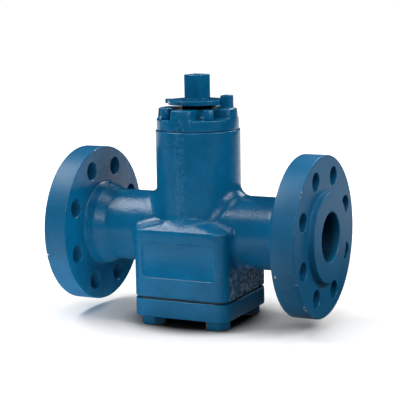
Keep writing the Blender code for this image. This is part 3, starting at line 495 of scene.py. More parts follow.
class CastingForm:
    """Outside of the casting as fields. Points are measured from the middle of the pipe axis."""

    def __init__(self, sizes):
        self.sizes = sizes

    def shoulder(self, points):
        """Height over the shoulder, and how steep it is there.

        The outline shrinks evenly from the box's square to a circle, and its share of the way at a point is
        found first: on a flat side from the larger coordinate, at a corner as the root of a quadratic. The
        height is 1 - (1 - share)^1.35 of the shoulder's rise.
        """
        sizes = self.sizes
        x, y = np.abs(points[..., 0]), np.abs(points[..., 1])
        drawn = sizes.barrel_radius - SHOULDER_INSET
        share = (BOX_HALF - np.maximum(x, y)) / (BOX_HALF - drawn)
        middle = BOX_HALF - sizes.box_corner
        gain = drawn - sizes.box_corner
        square = 2 * middle**2 - gain**2
        linear = middle * (x + y - 2 * middle) - sizes.box_corner * gain
        level = (x - middle) ** 2 + (y - middle) ** 2 - sizes.box_corner**2
        root = (np.sqrt(np.maximum(linear**2 - square * level, 0.0)) - linear) / square
        cornered = np.minimum(x, y) > middle * (1 - share)
        share = np.where(cornered, root, share)
        centre = middle * (1 - share)
        radius = np.maximum(sizes.box_corner + gain * share, HAIR)
        turning = np.abs(middle * (x + y - 2 * centre) - radius * gain)
        change = np.where(cornered, radius / np.maximum(turning, HAIR * middle), 1 / (BOX_HALF - drawn))
        left = np.maximum(1 - share, 0.0)
        height = sizes.box_rise + sizes.shoulder_rise * (1 - left**SHOULDER_POWER)
        fall = sizes.shoulder_rise * SHOULDER_POWER * left ** (SHOULDER_POWER - 1) * change
        return height, np.hypot(fall, 1.0)

    def box(self, points):
        """The square box and its shoulder. A height above the shoulder becomes a distance by its steepness."""
        height, steep = self.shoulder(points)
        side = square_field(points[..., 0], points[..., 1], BOX_HALF, self.sizes.box_corner)
        return common_field((points[..., 2] - height) / steep, side, SHOULDER_EDGE)

    def barrel(self, points):
        """The round barrel, with a low ground-off seam along its front and back."""
        seam = SEAM_HEIGHT * np.exp(-((points[..., 0] / SEAM_REACH) ** 2))
        return np.hypot(points[..., 0], points[..., 1]) - self.sizes.barrel_radius - seam

    def trunk(self, points):
        """Box and barrel in one."""
        return joined_field(self.box(points), self.barrel(points), SHOULDER_ROOT)

    def with_neck(self, form, ball, points):
        """A form and the neck. The fillet's reach is a ball's radius times 1 less the cosine between them."""
        neck_reach = np.hypot(points[..., 1], points[..., 2])
        normal = normal_of(form, points)
        across = (normal[..., 1] * points[..., 1] + normal[..., 2] * points[..., 2]) / neck_reach
        reach = np.maximum(ball * (1 - across), HAIR)
        return joined_field(form(points), neck_reach - self.sizes.neck_radius, reach)

    def whole(self, points):
        """Neck and barrel, neck and box, and the two pairs in one. Where the pairs run along each other, the
        last fillet vanishes, as its reach too goes with 1 less the cosine between them."""
        sizes = self.sizes

        def upper(place):
            return self.with_neck(self.barrel, sizes.neck_blend, place)

        def lower(place):
            return self.with_neck(self.box, sizes.box_blend, place)

        across = np.sum(normal_of(upper, points) * normal_of(lower, points), axis=-1)
        reach = np.maximum(SHOULDER_ROOT * (1 - across), HAIR)
        return joined_field(upper(points), lower(points), reach)

    def wall(self, turn, height, inset=0.0):
        """Points of the trunk at given turns about the stem axis and heights."""
        turn, height, inset = np.broadcast_arrays(turn, height, inset)
        start = np.stack([0 * turn, 0 * turn, height], axis=-1)
        level = np.stack([np.cos(turn), np.sin(turn), 0 * turn], axis=-1)
        return cast_out(lambda points: self.trunk(points) + inset, start, level, RAY_REACH)


WINDOW_LOW = -0.050
WINDOW_HIGH = 0.056
WINDOW_HEIGHTS = np.concatenate(
    [
        np.linspace(WINDOW_LOW, 0.0026, 28),
        np.linspace(0.0031, 0.0110, 18),
        np.linspace(0.0114, 0.0176, 16),
        np.linspace(0.0190, WINDOW_HIGH, 20),
    ]
)
WINDOW_TURN_BOX = math.radians(42)
WINDOW_TURN_BARREL = math.radians(68)
WINDOW_ROWS = 34
WINDOW_TOP_COLUMNS = 72
WINDOW_BOTTOM_COLUMNS = 56
FRONT_COLUMNS = 56
RAY_START = 0.020
NECK_JOIN = 0.070
END_EDGE = 0.0012


def window_turn(height):
    """Where the neck's part of the skin ends: it widens from the box's corner to the barrel's side."""
    return WINDOW_TURN_BOX + (WINDOW_TURN_BARREL - WINDOW_TURN_BOX) * eased(height, -0.005, 0.011)


def window_rim(form):
    """Points once round the edge of the neck's part of the skin, from the upper left corner."""
    top = np.linspace(-WINDOW_TURN_BARREL, WINDOW_TURN_BARREL, WINDOW_TOP_COLUMNS + 1)
    bottom = np.linspace(WINDOW_TURN_BOX, -WINDOW_TURN_BOX, WINDOW_BOTTOM_COLUMNS + 1)
    down = WINDOW_HEIGHTS[::-1]
    turns = [top, window_turn(down)[1:], bottom[1:], -window_turn(WINDOW_HEIGHTS)[1:]]
    heights = [np.full(len(top), WINDOW_HIGH), down[1:], np.full(len(bottom) - 1, WINDOW_LOW), WINDOW_HEIGHTS[1:]]
    return form.wall(np.concatenate(turns), np.concatenate(heights))


def neck_grids(form):
    """The skin between the window's rim and the neck, and the pipe end that goes on from it.

    The rays start at one point on the pipe axis. Along a column they swing in one plane through that axis,
    evenly from the rim's angle to the neck's. The pipe end is the column's turn with a turned profile.
    """
    sizes = form.sizes
    rim = window_rim(form)
    turn = np.arctan2(rim[:, 1], rim[:, 2])
    rim_swing = np.arctan2(np.hypot(rim[:, 1], rim[:, 2]), rim[:, 0] - RAY_START)
    neck_swing = math.atan2(sizes.neck_radius, NECK_JOIN - RAY_START)
    share = np.linspace(0.0, 1.0, WINDOW_ROWS + 1)[1:-1, None]
    swing = rim_swing + (neck_swing - rim_swing) * share
    rays = np.stack([np.cos(swing), np.sin(swing) * np.sin(turn), np.sin(swing) * np.cos(turn)], axis=-1)
    blend = cast_out(form.whole, np.array([RAY_START, 0.0, 0.0]), rays, RAY_REACH)
    radius, along = pipe_profile(sizes).T
    pipe = np.stack(
        [np.outer(along, np.ones_like(turn)), np.outer(radius, np.sin(turn)), np.outer(radius, np.cos(turn))],
        axis=-1,
    )
    return [np.concatenate([rim[None], blend, pipe[:1]]), pipe]


def pipe_profile(sizes):
    """(radius, distance) from the neck over hub and flange to the raised face's middle."""
    front = PIPE_END - sizes.raised_height
    back = front - sizes.flange_thickness
    hold = 0.0006
    corners = [
        (sizes.neck_radius, NECK_JOIN, 0.0),
        (sizes.neck_radius, sizes.hub_start, 0.012),
        (sizes.hub_radius - 0.0012, sizes.hub_start + 0.011, 0.008),
        (sizes.hub_radius, back, 0.0022),
        (FLANGE_RADIUS - 0.0012 - hold, back, 0.0),
        (FLANGE_RADIUS, back, 0.0012),
        (FLANGE_RADIUS, front, 0.0015),
        (FLANGE_RADIUS - 0.0015 - hold, front, 0.0),
        (sizes.raised_radius + 0.0008 + hold, front, 0.0),
        (sizes.raised_radius, front, 0.0008),
        (sizes.raised_radius, PIPE_END, 0.0006),
        (sizes.raised_radius - 0.0006 - hold, PIPE_END, 0.0),
        (0.0, PIPE_END, 0.0),
    ]
    return eased_line(corners, 7)


def trunk_grids(form):
    """Front and back of the box and barrel between the windows, and whole rings above and below them."""
    share = np.linspace(0.0, 1.0, FRONT_COLUMNS + 1)
    edge = window_turn(WINDOW_HEIGHTS)[:, None]
    back = form.wall(edge + (math.pi - 2 * edge) * share, WINDOW_HEIGHTS[:, None])
    mirror = np.array([1.0, -1.0, 1.0])
    lean = np.linspace(0.0, math.pi / 2, EDGE_STEPS + 1)
    grids = [back, back * mirror]
    for start, end, window, columns in (
        (WINDOW_HIGH, BODY_TOP, WINDOW_TURN_BARREL, WINDOW_TOP_COLUMNS),
        (WINDOW_LOW, BODY_BOTTOM, WINDOW_TURN_BOX, WINDOW_BOTTOM_COLUMNS),
    ):
        way = math.copysign(1.0, end - start)
        side = np.linspace(-window, window, columns + 1)
        between = window + (math.pi - 2 * window) * share
        turns = np.concatenate([side, between, side + math.pi, between + math.pi])
        straight = np.linspace(start, end - way * END_EDGE, 9)
        heights = np.concatenate([straight, end - way * END_EDGE * (1 - np.sin(lean[1:])), [end]])
        insets = np.concatenate([0 * straight, END_EDGE * (1 - np.cos(lean[1:])), [END_EDGE + 0.0006]])
        ring = form.wall(turns[None, :], heights[:, None], insets[:, None])
        middle = np.zeros_like(ring[:1]) + np.array([0.0, 0.0, end])
        grids.append(np.concatenate([ring, middle]))
    return grids


def cavity_tool():
    """Register, tapered seat, chamber, stem bore and stuffing box, turned in one. All mouths are eased."""
    seat_top = BOX["coupling_ring"][0].z - FIT + 0.002
    seat_bottom = BOX["bottom_cover"][1].z + 0.0008
    web_bottom = BOX["thrust_washer"][1].z + FIT
    web_top = BOX["packing_washer"][0].z - FIT
    register = BOX["cover_gasket"][1].z + FIT
    top = PIPE_HEIGHT + BODY_TOP
    stuffing = BOX["packing_ring_1"][1].x + FIT
    stem_bore = BOX["weather_seal"][1].x - SEAL_WALL
    chamber = BOX["coupling_ring"][1].x + 0.002
    seat_low = seat_radius(seat_bottom)
    corners = [
        (0.0, top + OVER, 0.0),
        (stuffing + 0.0006 + OVER, top + OVER, 0.0),
        (stuffing, top - 0.0006, 0.0),
        (stuffing, web_top, 0.0006),
        (stem_bore, web_top, 0.0),
        (stem_bore, web_bottom, 0.0),
        (chamber, web_bottom, 0.0006),
        (chamber, seat_top, 0.0006),
        (seat_radius(seat_top), seat_top, 0.0),
        (seat_low, seat_bottom, 0.0),
        (seat_low + 0.0008, seat_bottom, 0.0),
        (seat_low + 0.0008, register + 0.0006, 0.0),
        (seat_low + 0.0014 + OVER, register - OVER, 0.0),
        (0.0, register - OVER, 0.0),
    ]
    return turned("cavity", eased_line(corners, 3), 192)


def seat_radius(height):
    """Radius of the tapered seat, 34 mm at the pipe axis and 1 in 12 wider downwards."""
    return SEAT_RADIUS - (height - PIPE_HEIGHT) / SEAT_SLOPE


def slot_outline(half_width, half_height, count=48):
    """(y, z) round an upright slot with round ends, or a circle: two half circles set apart."""
    turn = np.linspace(0.0, math.pi, count + 1)
    spread = half_height - half_width
    upper = np.column_stack([half_width * np.cos(turn), half_width * np.sin(turn) + spread])
    return np.vstack([upper, -upper])


def flow_tool(side, bore):
    """The flow way of one side: a round bore with an eased mouth that narrows to the plug's tall port."""
    mouth = 0.0008
    narrowing, narrow, inner_end = 0.0677, 0.030, 0.017
    share = np.linspace(0.0, 1.0, 13)

    def sizes_to(port):
        """Half widths or half heights from the mouth inwards, down or up to the port's."""
        return np.concatenate([[bore + mouth + OVER, bore], bore + (port - bore) * eased(share, 0.0, 1.0), [port]])

    straight = narrowing + (narrow - narrowing) * share
    places = np.concatenate([[PIPE_END + OVER, PIPE_END - mouth], straight, [inner_end]])
    outlines = [slot_outline(*size) for size in zip(sizes_to(PORT_HALF_WIDTH), sizes_to(PORT_HALF_HEIGHT))]
    return lying("flow_way", outlines, side * places)


def stud_tool(sizes):
    """Sixteen stud holes, eight to a flange, on their bolt circle and with eased mouths."""
    front = PIPE_END - sizes.raised_height
    back = front - sizes.flange_thickness
    drills = []
    for side in (1, -1):
        for i in range(8):
            turn = (i + 0.5) * math.pi / 4
            place = (0.0, STUD_CIRCLE * math.sin(turn), PIPE_HEIGHT + STUD_CIRCLE * math.cos(turn))
            stand = Matrix.Translation(place)
            lay = Matrix.Rotation(side * math.pi / 2, 4, "Y")
            drills.append(moved(drill("stud_hole", STUD_HOLE, back, front, 0.0005, 56), matrix=stand @ lay))
    return joined("stud_holes", drills)


def panel_tool():
    """The shallow panel in the front of the box, with an eased rim and a filleted floor."""
    half_width = BOX_HALF - 0.0132
    half_height = 0.0186
    depth = 0.0012
    corner = 0.0035
    base = rounded_rectangle(half_width, half_height, corner, 10)
    grow = (0.0006 + OVER, 0.0006, 0.00025, 0.0, -0.00015, -0.0006)
    sink = (-OVER, 0.0, 0.00015, 0.0006, 0.00095, depth)
    tool = column("panel", [inward(base, -g) for g in grow], sink)
    stand = Matrix.Translation((0.0, -BOX_HALF, PIPE_HEIGHT - 0.0254)) @ Matrix.Rotation(-math.pi / 2, 4, "X")
    return moved(tool, matrix=stand)


class VALVE_OT_casting(Operator):
    """Builds the body casting: box, barrel, necks and flanges, bored and drilled."""

    bl_idname = "valve.casting"
    bl_label = "Body Casting"

    def execute(self, context):
        form = CastingForm(context.scene.valve_casting)
        right = neck_grids(form)
        mirror = np.array([-1.0, 1.0, 1.0])
        grids = trunk_grids(form) + right + [grid * mirror for grid in right]
        casting = moved(skin("body_casting", *grids), (0.0, 0.0, PIPE_HEIGHT))
        bottom = PIPE_HEIGHT + BODY_BOTTOM
        top = PIPE_HEIGHT + BODY_TOP
        bolt_hole = bored(corners_of(BOLT_REACH), BOLT_HOLE, bottom, bottom + 0.0245)
        screw_hole = bored(screw_places(), SCREW_HOLE, BOX["cap_screw_1"][0].z - OVER, top)
        shaped(
            casting,
            "DIFFERENCE",
            cavity_tool(),
            flow_tool(1, form.sizes.bore_radius),
            flow_tool(-1, form.sizes.bore_radius),
            stud_tool(form.sizes),
            bolt_hole,
            screw_hole,
            panel_tool(),
        )
        finished(casting, "valve_body", PAINTS["cast"], ["body"])
        return {"FINISHED"}


def corners_of(reach):
    return [(x * reach, y * reach) for x, y in ((1, 1), (-1, 1), (-1, -1), (1, -1))]


def middle_of(name):
    """(x, y) in the middle of a piece's box."""
    low, high = BOX[name]
    return (low.x + high.x) / 2, (low.y + high.y) / 2


def screw_places():
    """Middles of the cap's four screws, at 45 degrees to the ribs."""
    return corners_of(middle_of("cap_screw_1")[0])


# The cap

CAP_COLUMNS = 480
VERTICAL_EDGE = 0.0026
TOP_EDGE = 0.0015
FLOOR_FILLET = 0.0022
RIM_EDGE = 0.0013
LUG_INNER = 0.028


class CapForm:
    """The cap's cross of ribs inside its round rim, as a field over the level plane."""

    def __init__(self, sizes):
        self.sizes = sizes

    def field(self, points, cross_inset, rim_radius, rim_inset):
        x = np.abs(points[..., 0]) - self.sizes.rib_half_width
        y = np.abs(points[..., 1]) - self.sizes.rib_half_width
        cross = joined_field(x, y, self.sizes.pocket_corner) + cross_inset
        rim = np.hypot(points[..., 0], points[..., 1]) - rim_radius + rim_inset
        return common_field(cross, rim, VERTICAL_EDGE)

    def reach(self, turns, cross_inset, rim_radius, rim_inset):
        """Distance from the axis to the outline along each turn."""
        level = np.stack([np.cos(turns), np.sin(turns)], axis=-1)
        found = cast_out(
            lambda points: self.field(points, cross_inset, rim_radius, rim_inset), np.zeros(2), level, 0.06
        )
        return np.hypot(found[..., 0], found[..., 1])

    def turns(self):
        """Turns at which the outline is cut into equal lengths, so that its walls get their share."""
        fine = around(7200)
        reach = self.reach(fine, 0.0, CAP_RADIUS, 0.0)
        outline = reach[:, None] * np.column_stack([np.cos(fine), np.sin(fine)])
        length = np.concatenate([[0.0], np.cumsum(np.linalg.norm(np.diff(outline, axis=0), axis=1))])
        return np.interp(np.linspace(0.0, length[-1], CAP_COLUMNS + 1), length, fine)


def cap_grid(sizes):
    """The whole cap as one closed loop of rows: bush bore, top, ribs, pocket floors, rim, spigot and bore."""
    form = CapForm(sizes)
    turns = form.turns()
    low, high = BOX["top_cap"]
    bottom = BOX["packing_ring_1"][1].z
    floor = CAP_TOP - sizes.rib_depth
    flange_bottom = PIPE_HEIGHT + BODY_TOP + FIT
    bush_radius = BOX["stem_bush"][1].x + FIT
    bush_floor = BOX["stem_bush"][0].z - FIT
    bore = BOX["weather_seal"][1].x - SEAL_WALL
    spigot = BOX["packing_ring_1"][1].x
    lean = np.linspace(0.0, math.pi / 2, EDGE_STEPS + 1)

    def rim_radius(height):
        return CAP_RADIUS - sizes.draft * (height - floor) / sizes.rib_depth

    bush = [(bore, bush_floor), (bush_radius, bush_floor), (bush_radius, CAP_TOP), (bush_radius + 0.002, CAP_TOP)]
    rows = list(rounded(bush, [0.0, 0.0, 0.0005, 0.0], 3))
    flat_inset = TOP_EDGE + 0.0006
    rows.append((form.reach(turns, flat_inset, rim_radius(CAP_TOP), flat_inset), CAP_TOP))
    for angle in lean:
        inset = TOP_EDGE * (1 - math.sin(angle))
        height = CAP_TOP - TOP_EDGE * (1 - math.cos(angle))
        rows.append((form.reach(turns, inset, rim_radius(height), inset), height))
    for angle in lean:
        inset = -FLOOR_FILLET * (1 - math.cos(angle))
        height = floor + FLOOR_FILLET * (1 - math.sin(angle))
        rows.append((form.reach(turns, inset, rim_radius(height), 0.0), height))
    foot = rows[-1][0]
    edge = np.minimum(RIM_EDGE, 0.6 * (CAP_RADIUS - foot))
    rows.append(((foot + CAP_RADIUS - edge) / 2, floor))
    for angle in lean:
        rows.append((CAP_RADIUS - edge * (1 - math.sin(angle)), floor - edge * (1 - math.cos(angle))))
    lower = [
        (CAP_RADIUS, flange_bottom + 0.003, 0.0),
        (CAP_RADIUS, flange_bottom, 0.0006),
        (CAP_RADIUS - 0.002, flange_bottom, 0.0),
        (spigot, flange_bottom, 0.0005),
        (spigot, bottom, 0.0008),
        (bore, bottom, 0.0005),
        (bore, bush_floor, 0.0),
    ]
    return swept([*rows, *eased_line(lower, 3)], turns)


def lug_form(sizes):
    """The stop lug: a post with round corners, a fillet at its foot and a round, slightly drafted top."""
    middle = np.array([LUG_INNER + sizes.lug_length / 2, 0.0])
    half_x, half_y = sizes.lug_length / 2, sizes.lug_width / 2
    top = BOX["top_cap"][1].z
    corner = 0.0022
    foot = 0.0015
    edge = 0.0011
    lean = np.linspace(0.0, math.pi / 2, EDGE_STEPS + 1)
    draft = 0.0002
    insets = np.concatenate(
        [[-foot], -foot * (1 - np.sin(lean)), [0.0, draft], draft + edge * (1 - np.cos(lean[1:]))]
    )
    heights = np.concatenate(
        [
            [CAP_TOP - OVER],
            CAP_TOP + foot * (1 - np.cos(lean)),
            [BOX["stop_collar"][1].z, top - edge],
            top - edge * (1 - np.sin(lean[1:])),
        ]
    )
    outlines = [rounded_rectangle(half_x - i, half_y - i, corner - i, 8) + middle for i in insets]
    return column("lug", outlines, heights)


class VALVE_OT_top_cap(Operator):
    """Builds the castellated cap with its pockets, screw holes and stop lug."""

    bl_idname = "valve.top_cap"
    bl_label = "Top Cap"

    def execute(self, context):
        sizes = context.scene.valve_cap
        cap = skin("castellated_cap", cap_grid(sizes))
        shaped(cap, "UNION", lug_form(sizes))
        floor = CAP_TOP - sizes.rib_depth
        shaped(cap, "DIFFERENCE", bored(screw_places(), SCREW_HOLE, PIPE_HEIGHT + BODY_TOP + FIT, floor))
        finished(cap, "valve_body", PAINTS["cast"], ["top_cap"])
        return {"FINISHED"}


# Hexagon heads


def hexagon_grid(width, low, high, ease_low, ease_high, columns=16):
    """A hexagon head whose ends are turned to a cone: where a side reaches past the cone's start, its height
    drops by the distance past it times the tangent of 30 degrees. Rows run from the lower to the upper middle."""
    turns = around(6 * columns)
    past = np.mod(turns, math.pi / 3) - math.pi / 6
    reach = width / 2 / np.cos(past)
    start = 0.475 * width
    drop = (reach - start) * math.tan(math.radians(30))
    soft = 0.03 * width

    def end(height, way, coned):
        """Rows from near the middle of one end out to the side, with inwards as the way."""
        if not coned:
            return [(reach - 0.0004, height), (reach, height + way * 0.0003)]
        return [
            (start - 0.0003, height),
            (start, height + way * 0.00004),
            (reach - 0.3 * soft, height + way * drop - way * 0.1 * soft),
            (reach, height + way * drop + way * 0.4 * soft),
        ]

    rows = [(0.0, low), *end(low, 1, ease_low), *reversed(end(high, -1, ease_high)), (0.0, high)]
    return swept(rows, turns)


def fastener(name, head, shank_radius, shank_low, shank_high):
    """A hexagon head on a plain shank with eased ends."""
    edge = 0.0008
    profile = [
        (0.0, shank_low),
        (shank_radius - edge, shank_low),
        (shank_radius, shank_low + edge),
        (shank_radius, shank_high - edge),
        (shank_radius - edge, shank_high),
        (0.0, shank_high),
    ]
    return shaped(skin(name, head), "UNION", turned("shank", profile, 64))


class VALVE_OT_cap_screws(Operator):
    """Builds the four tall hexagon screws in the cap's pockets."""

    bl_idname = "valve.cap_screws"
    bl_label = "Cap Screws"

    def execute(self, context):
        for number in range(1, 5):
            node = f"cap_screw_{number}"
            low, high = BOX[node]
            seat = CAP_TOP - context.scene.valve_cap.rib_depth + FIT
            head = hexagon_grid(SCREW_HEAD, seat, high.z, False, True)
            made = fastener(f"pocket_screw_{number}", head, SCREW_SHANK, low.z, seat + 0.002)
            moved(made, (*middle_of(node), 0.0))
            finished(made, "valve_body", PAINTS["smooth"], [node])
        return {"FINISHED"}


class VALVE_OT_cover_bolts(Operator):
    """Builds the four bolts under the cover, on whose heads the valve stands."""

    bl_idname = "valve.cover_bolts"
    bl_label = "Cover Bolts"

    def execute(self, context):
        for number in range(1, 5):
            node = f"cover_bolt_{number}"
            low, high = BOX[node]
            head = hexagon_grid(BOLT_HEAD, low.z, COVER_BOTTOM - FIT, True, False, 20)
            made = fastener(f"foot_bolt_{number}", head, BOLT_SHANK, COVER_BOTTOM - 0.003, high.z)
            moved(made, (*middle_of(node), 0.0))
            finished(made, "valve_body", PAINTS["smooth"], [node])
        return {"FINISHED"}


class VALVE_OT_bottom_cover(Operator):
    """Builds the square cover under the box, with its spigot and holes, and the gasket above it."""

    bl_idname = "valve.bottom_cover"
    bl_label = "Bottom Cover"

    def execute(self, context):
        corner = context.scene.valve_casting.box_corner
        top = BOX["cover_gasket"][0].z - FIT
        outline = rounded_rectangle(BOX_HALF, BOX_HALF, corner, 12)
        cover = edged_plate("square_cover", outline, COVER_BOTTOM, top, 0.0016)
        spigot_top = BOX["bottom_cover"][1].z
        spigot_radius = seat_radius(spigot_top + 0.0008) + 0.0008 - FIT
        spigot = [
            (0.0, top - 0.004),
            (spigot_radius, top - 0.004),
            (spigot_radius, spigot_top - 0.001),
            (spigot_radius - 0.001, spigot_top),
            (0.0, spigot_top),
        ]
        shaped(cover, "UNION", turned("spigot", spigot, 160))
        pad_radius = BOX["thrust_pad"][1].x + FIT
        floor = BOX["thrust_pad"][0].z - 0.001
        screw = BOX["adjusting_screw"][1].x + FIT
        way = [
            (0.0, spigot_top + OVER),
            (pad_radius + 0.0005 + OVER, spigot_top + OVER),
            (pad_radius, spigot_top - 0.0005),
            (pad_radius, floor),
            (screw, floor),
            (screw, COVER_BOTTOM + 0.0008),
            (screw + 0.0008 + OVER, COVER_BOTTOM - OVER),
            (0.0, COVER_BOTTOM - OVER),
        ]
        holes = bored(corners_of(BOLT_REACH), BOLT_HOLE, COVER_BOTTOM, top)
        shaped(cover, "DIFFERENCE", turned("way", way, 96), holes)
        finished(cover, "valve_body", PAINTS["cast"], ["bottom_cover"])
        low, high = BOX["cover_gasket"]
        sheet = rounded_rectangle(high.x, high.y, corner - 0.002, 12)
        gasket = edged_plate("joint_gasket", sheet, low.z, high.z, 0.0003)
        eye = bored([(0.0, 0.0)], spigot_radius + FIT, low.z, high.z, 0.0, 160)
        holes = bored(corners_of(BOLT_REACH), BOLT_HOLE, low.z, high.z, 0.0)
        shaped(gasket, "DIFFERENCE", eye, holes)
        finished(gasket, "valve_body", FINISHES["graphite"], ["cover_gasket"])
        return {"FINISHED"}


def key_tool(width, low, high):
    """A hexagon key's hole with a flared mouth at its lower end."""
    turn = np.arange(6) * math.pi / 3
    reach = width / math.sqrt(3)
    shape = np.column_stack([np.cos(turn), np.sin(turn)])
    outlines = [shape * (reach + 0.0005 + OVER), shape * reach, shape * reach, shape * (reach * 0.3)]
    return column("key", outlines, [low - OVER, low + 0.0005, high, high + 0.001])


class VALVE_OT_adjuster(Operator):
    """Builds the adjusting screw under the plug and the nut that locks it."""

    bl_idname = "valve.adjuster"
    bl_label = "Adjusting Screw and Nut"

    def execute(self, context):
        low, high = BOX["adjusting_screw"]
        radius = high.x
        pitch = 0.002
        crests = np.arange(low.z + 0.0012, high.z - 0.0012, pitch / 2)
        depths = np.where(np.arange(len(crests)) % 2 == 0, radius, radius - 0.0009)
        profile = [(0.0, low.z), (radius - 0.0012, low.z), *zip(depths, crests)]
        profile += [(radius - 0.0012, high.z), (0.0, high.z)]
        screw = turned("plug_adjuster", profile, 96)
        shaped(screw, "DIFFERENCE", key_tool(0.008, low.z, low.z + 0.0058))
        finished(screw, "valve_body", FINISHES["machined"], ["adjusting_screw"])
        low, high = BOX["lock_nut"]
        nut = skin("adjuster_nut", hexagon_grid(NUT_WIDTH, low.z, high.z, True, True, 20))
        shaped(nut, "DIFFERENCE", bored([(0.0, 0.0)], radius + FIT, low.z, high.z, 0.0008, 96))
        finished(nut, "valve_body", PAINTS["smooth"], ["lock_nut"])
        return {"FINISHED"}


# The turning pieces


class VALVE_OT_stem(Operator):
    """Builds the stem: headed shank, tang, wrench square and sealant way, with its screw."""

    bl_idname = "valve.stem"
    bl_label = "Stem"

    def execute(self, context):
        sizes = context.scene.valve_stem
        low, high = BOX["stem"]
        shank = BOX["weather_seal"][1].x - SEAL_WALL - FIT
        shank_top = BOX["stop_collar"][0].z - FIT
        head_radius = BOX["stem"][1].x
        head_low = BOX["coupling_ring"][1].z + FIT
        head_high = BOX["thrust_washer"][0].z - FIT
        corners = [
            (0.0, shank_top, 0.0),
            (shank, shank_top, 0.0005),
            (shank, head_high, 0.0004),
            (head_radius, head_high, 0.0006),
            (head_radius, head_low, 0.0006),
            (0.0, head_low, 0.0),
        ]
        stem = turned("wrench_stem", eased_line(corners, 4), 128)
        edge = 0.0009
        lean = np.linspace(0.0, math.pi / 2, EDGE_STEPS + 1)
        insets = np.concatenate([[0.0], edge * (1 - np.cos(lean))])
        heights = np.concatenate([[shank_top - OVER], SQUARE_TOP - edge * (1 - np.sin(lean))])
        base = cut_square(sizes.square_width, sizes.square_corner, sizes.square_turn, 0.001)
        square = column("square", [inward(base, inset) for inset in insets], heights)
        tang = edged_plate("tang", rounded_rectangle(0.005, 0.018, 0.0006, 3), low.z, head_low + OVER, 0.0004)
        shaped(stem, "UNION", square, tang)
        screw_low, screw_high = BOX["sealant_screw"]
        screw_radius = screw_high.x
        way = [
            (0.0, SQUARE_TOP + OVER),
            (screw_radius + FIT + 0.0004 + OVER, SQUARE_TOP + OVER),
            (screw_radius + FIT, SQUARE_TOP - 0.0004),
            (screw_radius + FIT, screw_low.z - FIT),
            (SEALANT_WAY, screw_low.z - FIT),
            (SEALANT_WAY, low.z - OVER),
            (0.0, low.z - OVER),
        ]
        ring_low, ring_high = BOX["retaining_ring"]
        groove = RING_BORE - FIT
        ring = [
            (groove, ring_low.z - FIT),
            (0.017, ring_low.z - FIT),
            (0.017, ring_high.z + FIT),
            (groove, ring_high.z + FIT),
        ]
        shaped(stem, "DIFFERENCE", turned("way", way, 64), turned("groove", ring, 128, closed=True))
        finished(stem, "stem_and_plug", PAINTS["smooth"], ["stem"])
        plug = [
            (0.0, screw_low.z),
            (screw_radius - 0.0008, screw_low.z),
            (screw_radius, screw_low.z + 0.0008),
            (screw_radius, SQUARE_TOP - 0.0004),
            (screw_radius - 0.0004, SQUARE_TOP),
            (0.0, SQUARE_TOP),
        ]
        screw = turned("sealant_plug", plug, 64)
        upside_down = Matrix.Translation((0, 0, SQUARE_TOP)) @ Matrix.Rotation(math.pi, 4, "X")
        key = moved(key_tool(0.005, 0.0, 0.0038), matrix=upside_down)
        shaped(screw, "DIFFERENCE", key)
        finished(screw, "stem_and_plug", PAINTS["smooth"], ["sealant_screw"])
        return {"FINISHED"}


class VALVE_OT_stop_collar(Operator):
    """Builds the stop collar with its pointer and notch, and the spring ring that holds it."""

    bl_idname = "valve.stop_collar"
    bl_label = "Stop Collar"

    def execute(self, context):
        sizes = context.scene.valve_stem
        low, high = BOX["stop_collar"]
        radius = -low.y
        outline = collar_outline(radius, sizes, -low.x, context.scene.valve_cap.lug_width / 2 + FIT)
        collar = edged_plate("pointer_collar", outline, low.z, high.z, 0.0006)
        width = sizes.square_width + 2 * FIT
        eye = cut_square(width, sizes.square_corner, sizes.square_turn)
        flare = inward(eye, -0.0005 - OVER)
        heights = [low.z - OVER, low.z + 0.0005, high.z - 0.0005, high.z + OVER]
        shaped(collar, "DIFFERENCE", column("eye", [flare, eye, eye, flare], heights))
        finished(collar, "stem_and_plug", PAINTS["smooth"], ["stop_collar"])
        low, high = BOX["retaining_ring"]
        ring_width = 0.0032
        outline = ring_outline(RING_BORE, RING_BORE + ring_width)
        ring = edged_plate("spring_ring", outline, low.z, high.z, 0.0003)
        finished(ring, "stem_and_plug", PAINTS["smooth"], ["retaining_ring"])
        return {"FINISHED"}


def collar_outline(radius, sizes, tip, stop):
    """Rim of the collar: a circle with a round-ended pointer, cut back over a quarter to the notch's floor.

    The notch's shoulders stand square, one fit off the lug's faces, and every corner is eased.
    """
    half = sizes.pointer_width / 2
    notch = sizes.notch_radius
    ease = 0.0012
    start = math.asin(stop / notch)
    end = math.asin(stop / radius)
    pointer = math.asin(half / radius)
    long_way = arc(radius, math.pi / 2 + end, math.pi - pointer, 28)
    lower_way = arc(radius, math.pi + pointer, 2 * math.pi - end, 44)
    floor = arc(notch, -start, math.pi / 2 + start, 36)
    nose = arc(half, math.pi / 2, 1.5 * math.pi, 12) - np.array([tip - half, 0.0])
    points = np.vstack([floor, long_way, nose, lower_way])
    radii = np.zeros(len(points))
    firsts = np.cumsum([0, len(floor), len(long_way), len(nose), len(lower_way)])
    for index in (0, firsts[1] - 1, firsts[1], len(points) - 1):
        radii[index] = ease
    radii[firsts[2] - 1] = 0.0015
    radii[firsts[3]] = 0.0015
    return eased_corners(points, radii)


def eased_corners(points, radii):
    """Corners of an outline turned into arcs, with the arcs kept shorter than the sides beside them."""
    side = np.linalg.norm(np.roll(points, -1, axis=0) - points, axis=1)
    room = 0.8 * np.minimum(side, np.roll(side, 1))
    return rounded(points, np.minimum(radii, room), 4, closed=True)


def ring_outline(inner, outer):
    """An open ring with its gap on +X and square ends."""
    gap = math.radians(14)
    outside = arc(outer, gap, 2 * math.pi - gap, 96)
    inside = arc(inner, 2 * math.pi - gap, gap, 96)
    return np.vstack([outside, inside])


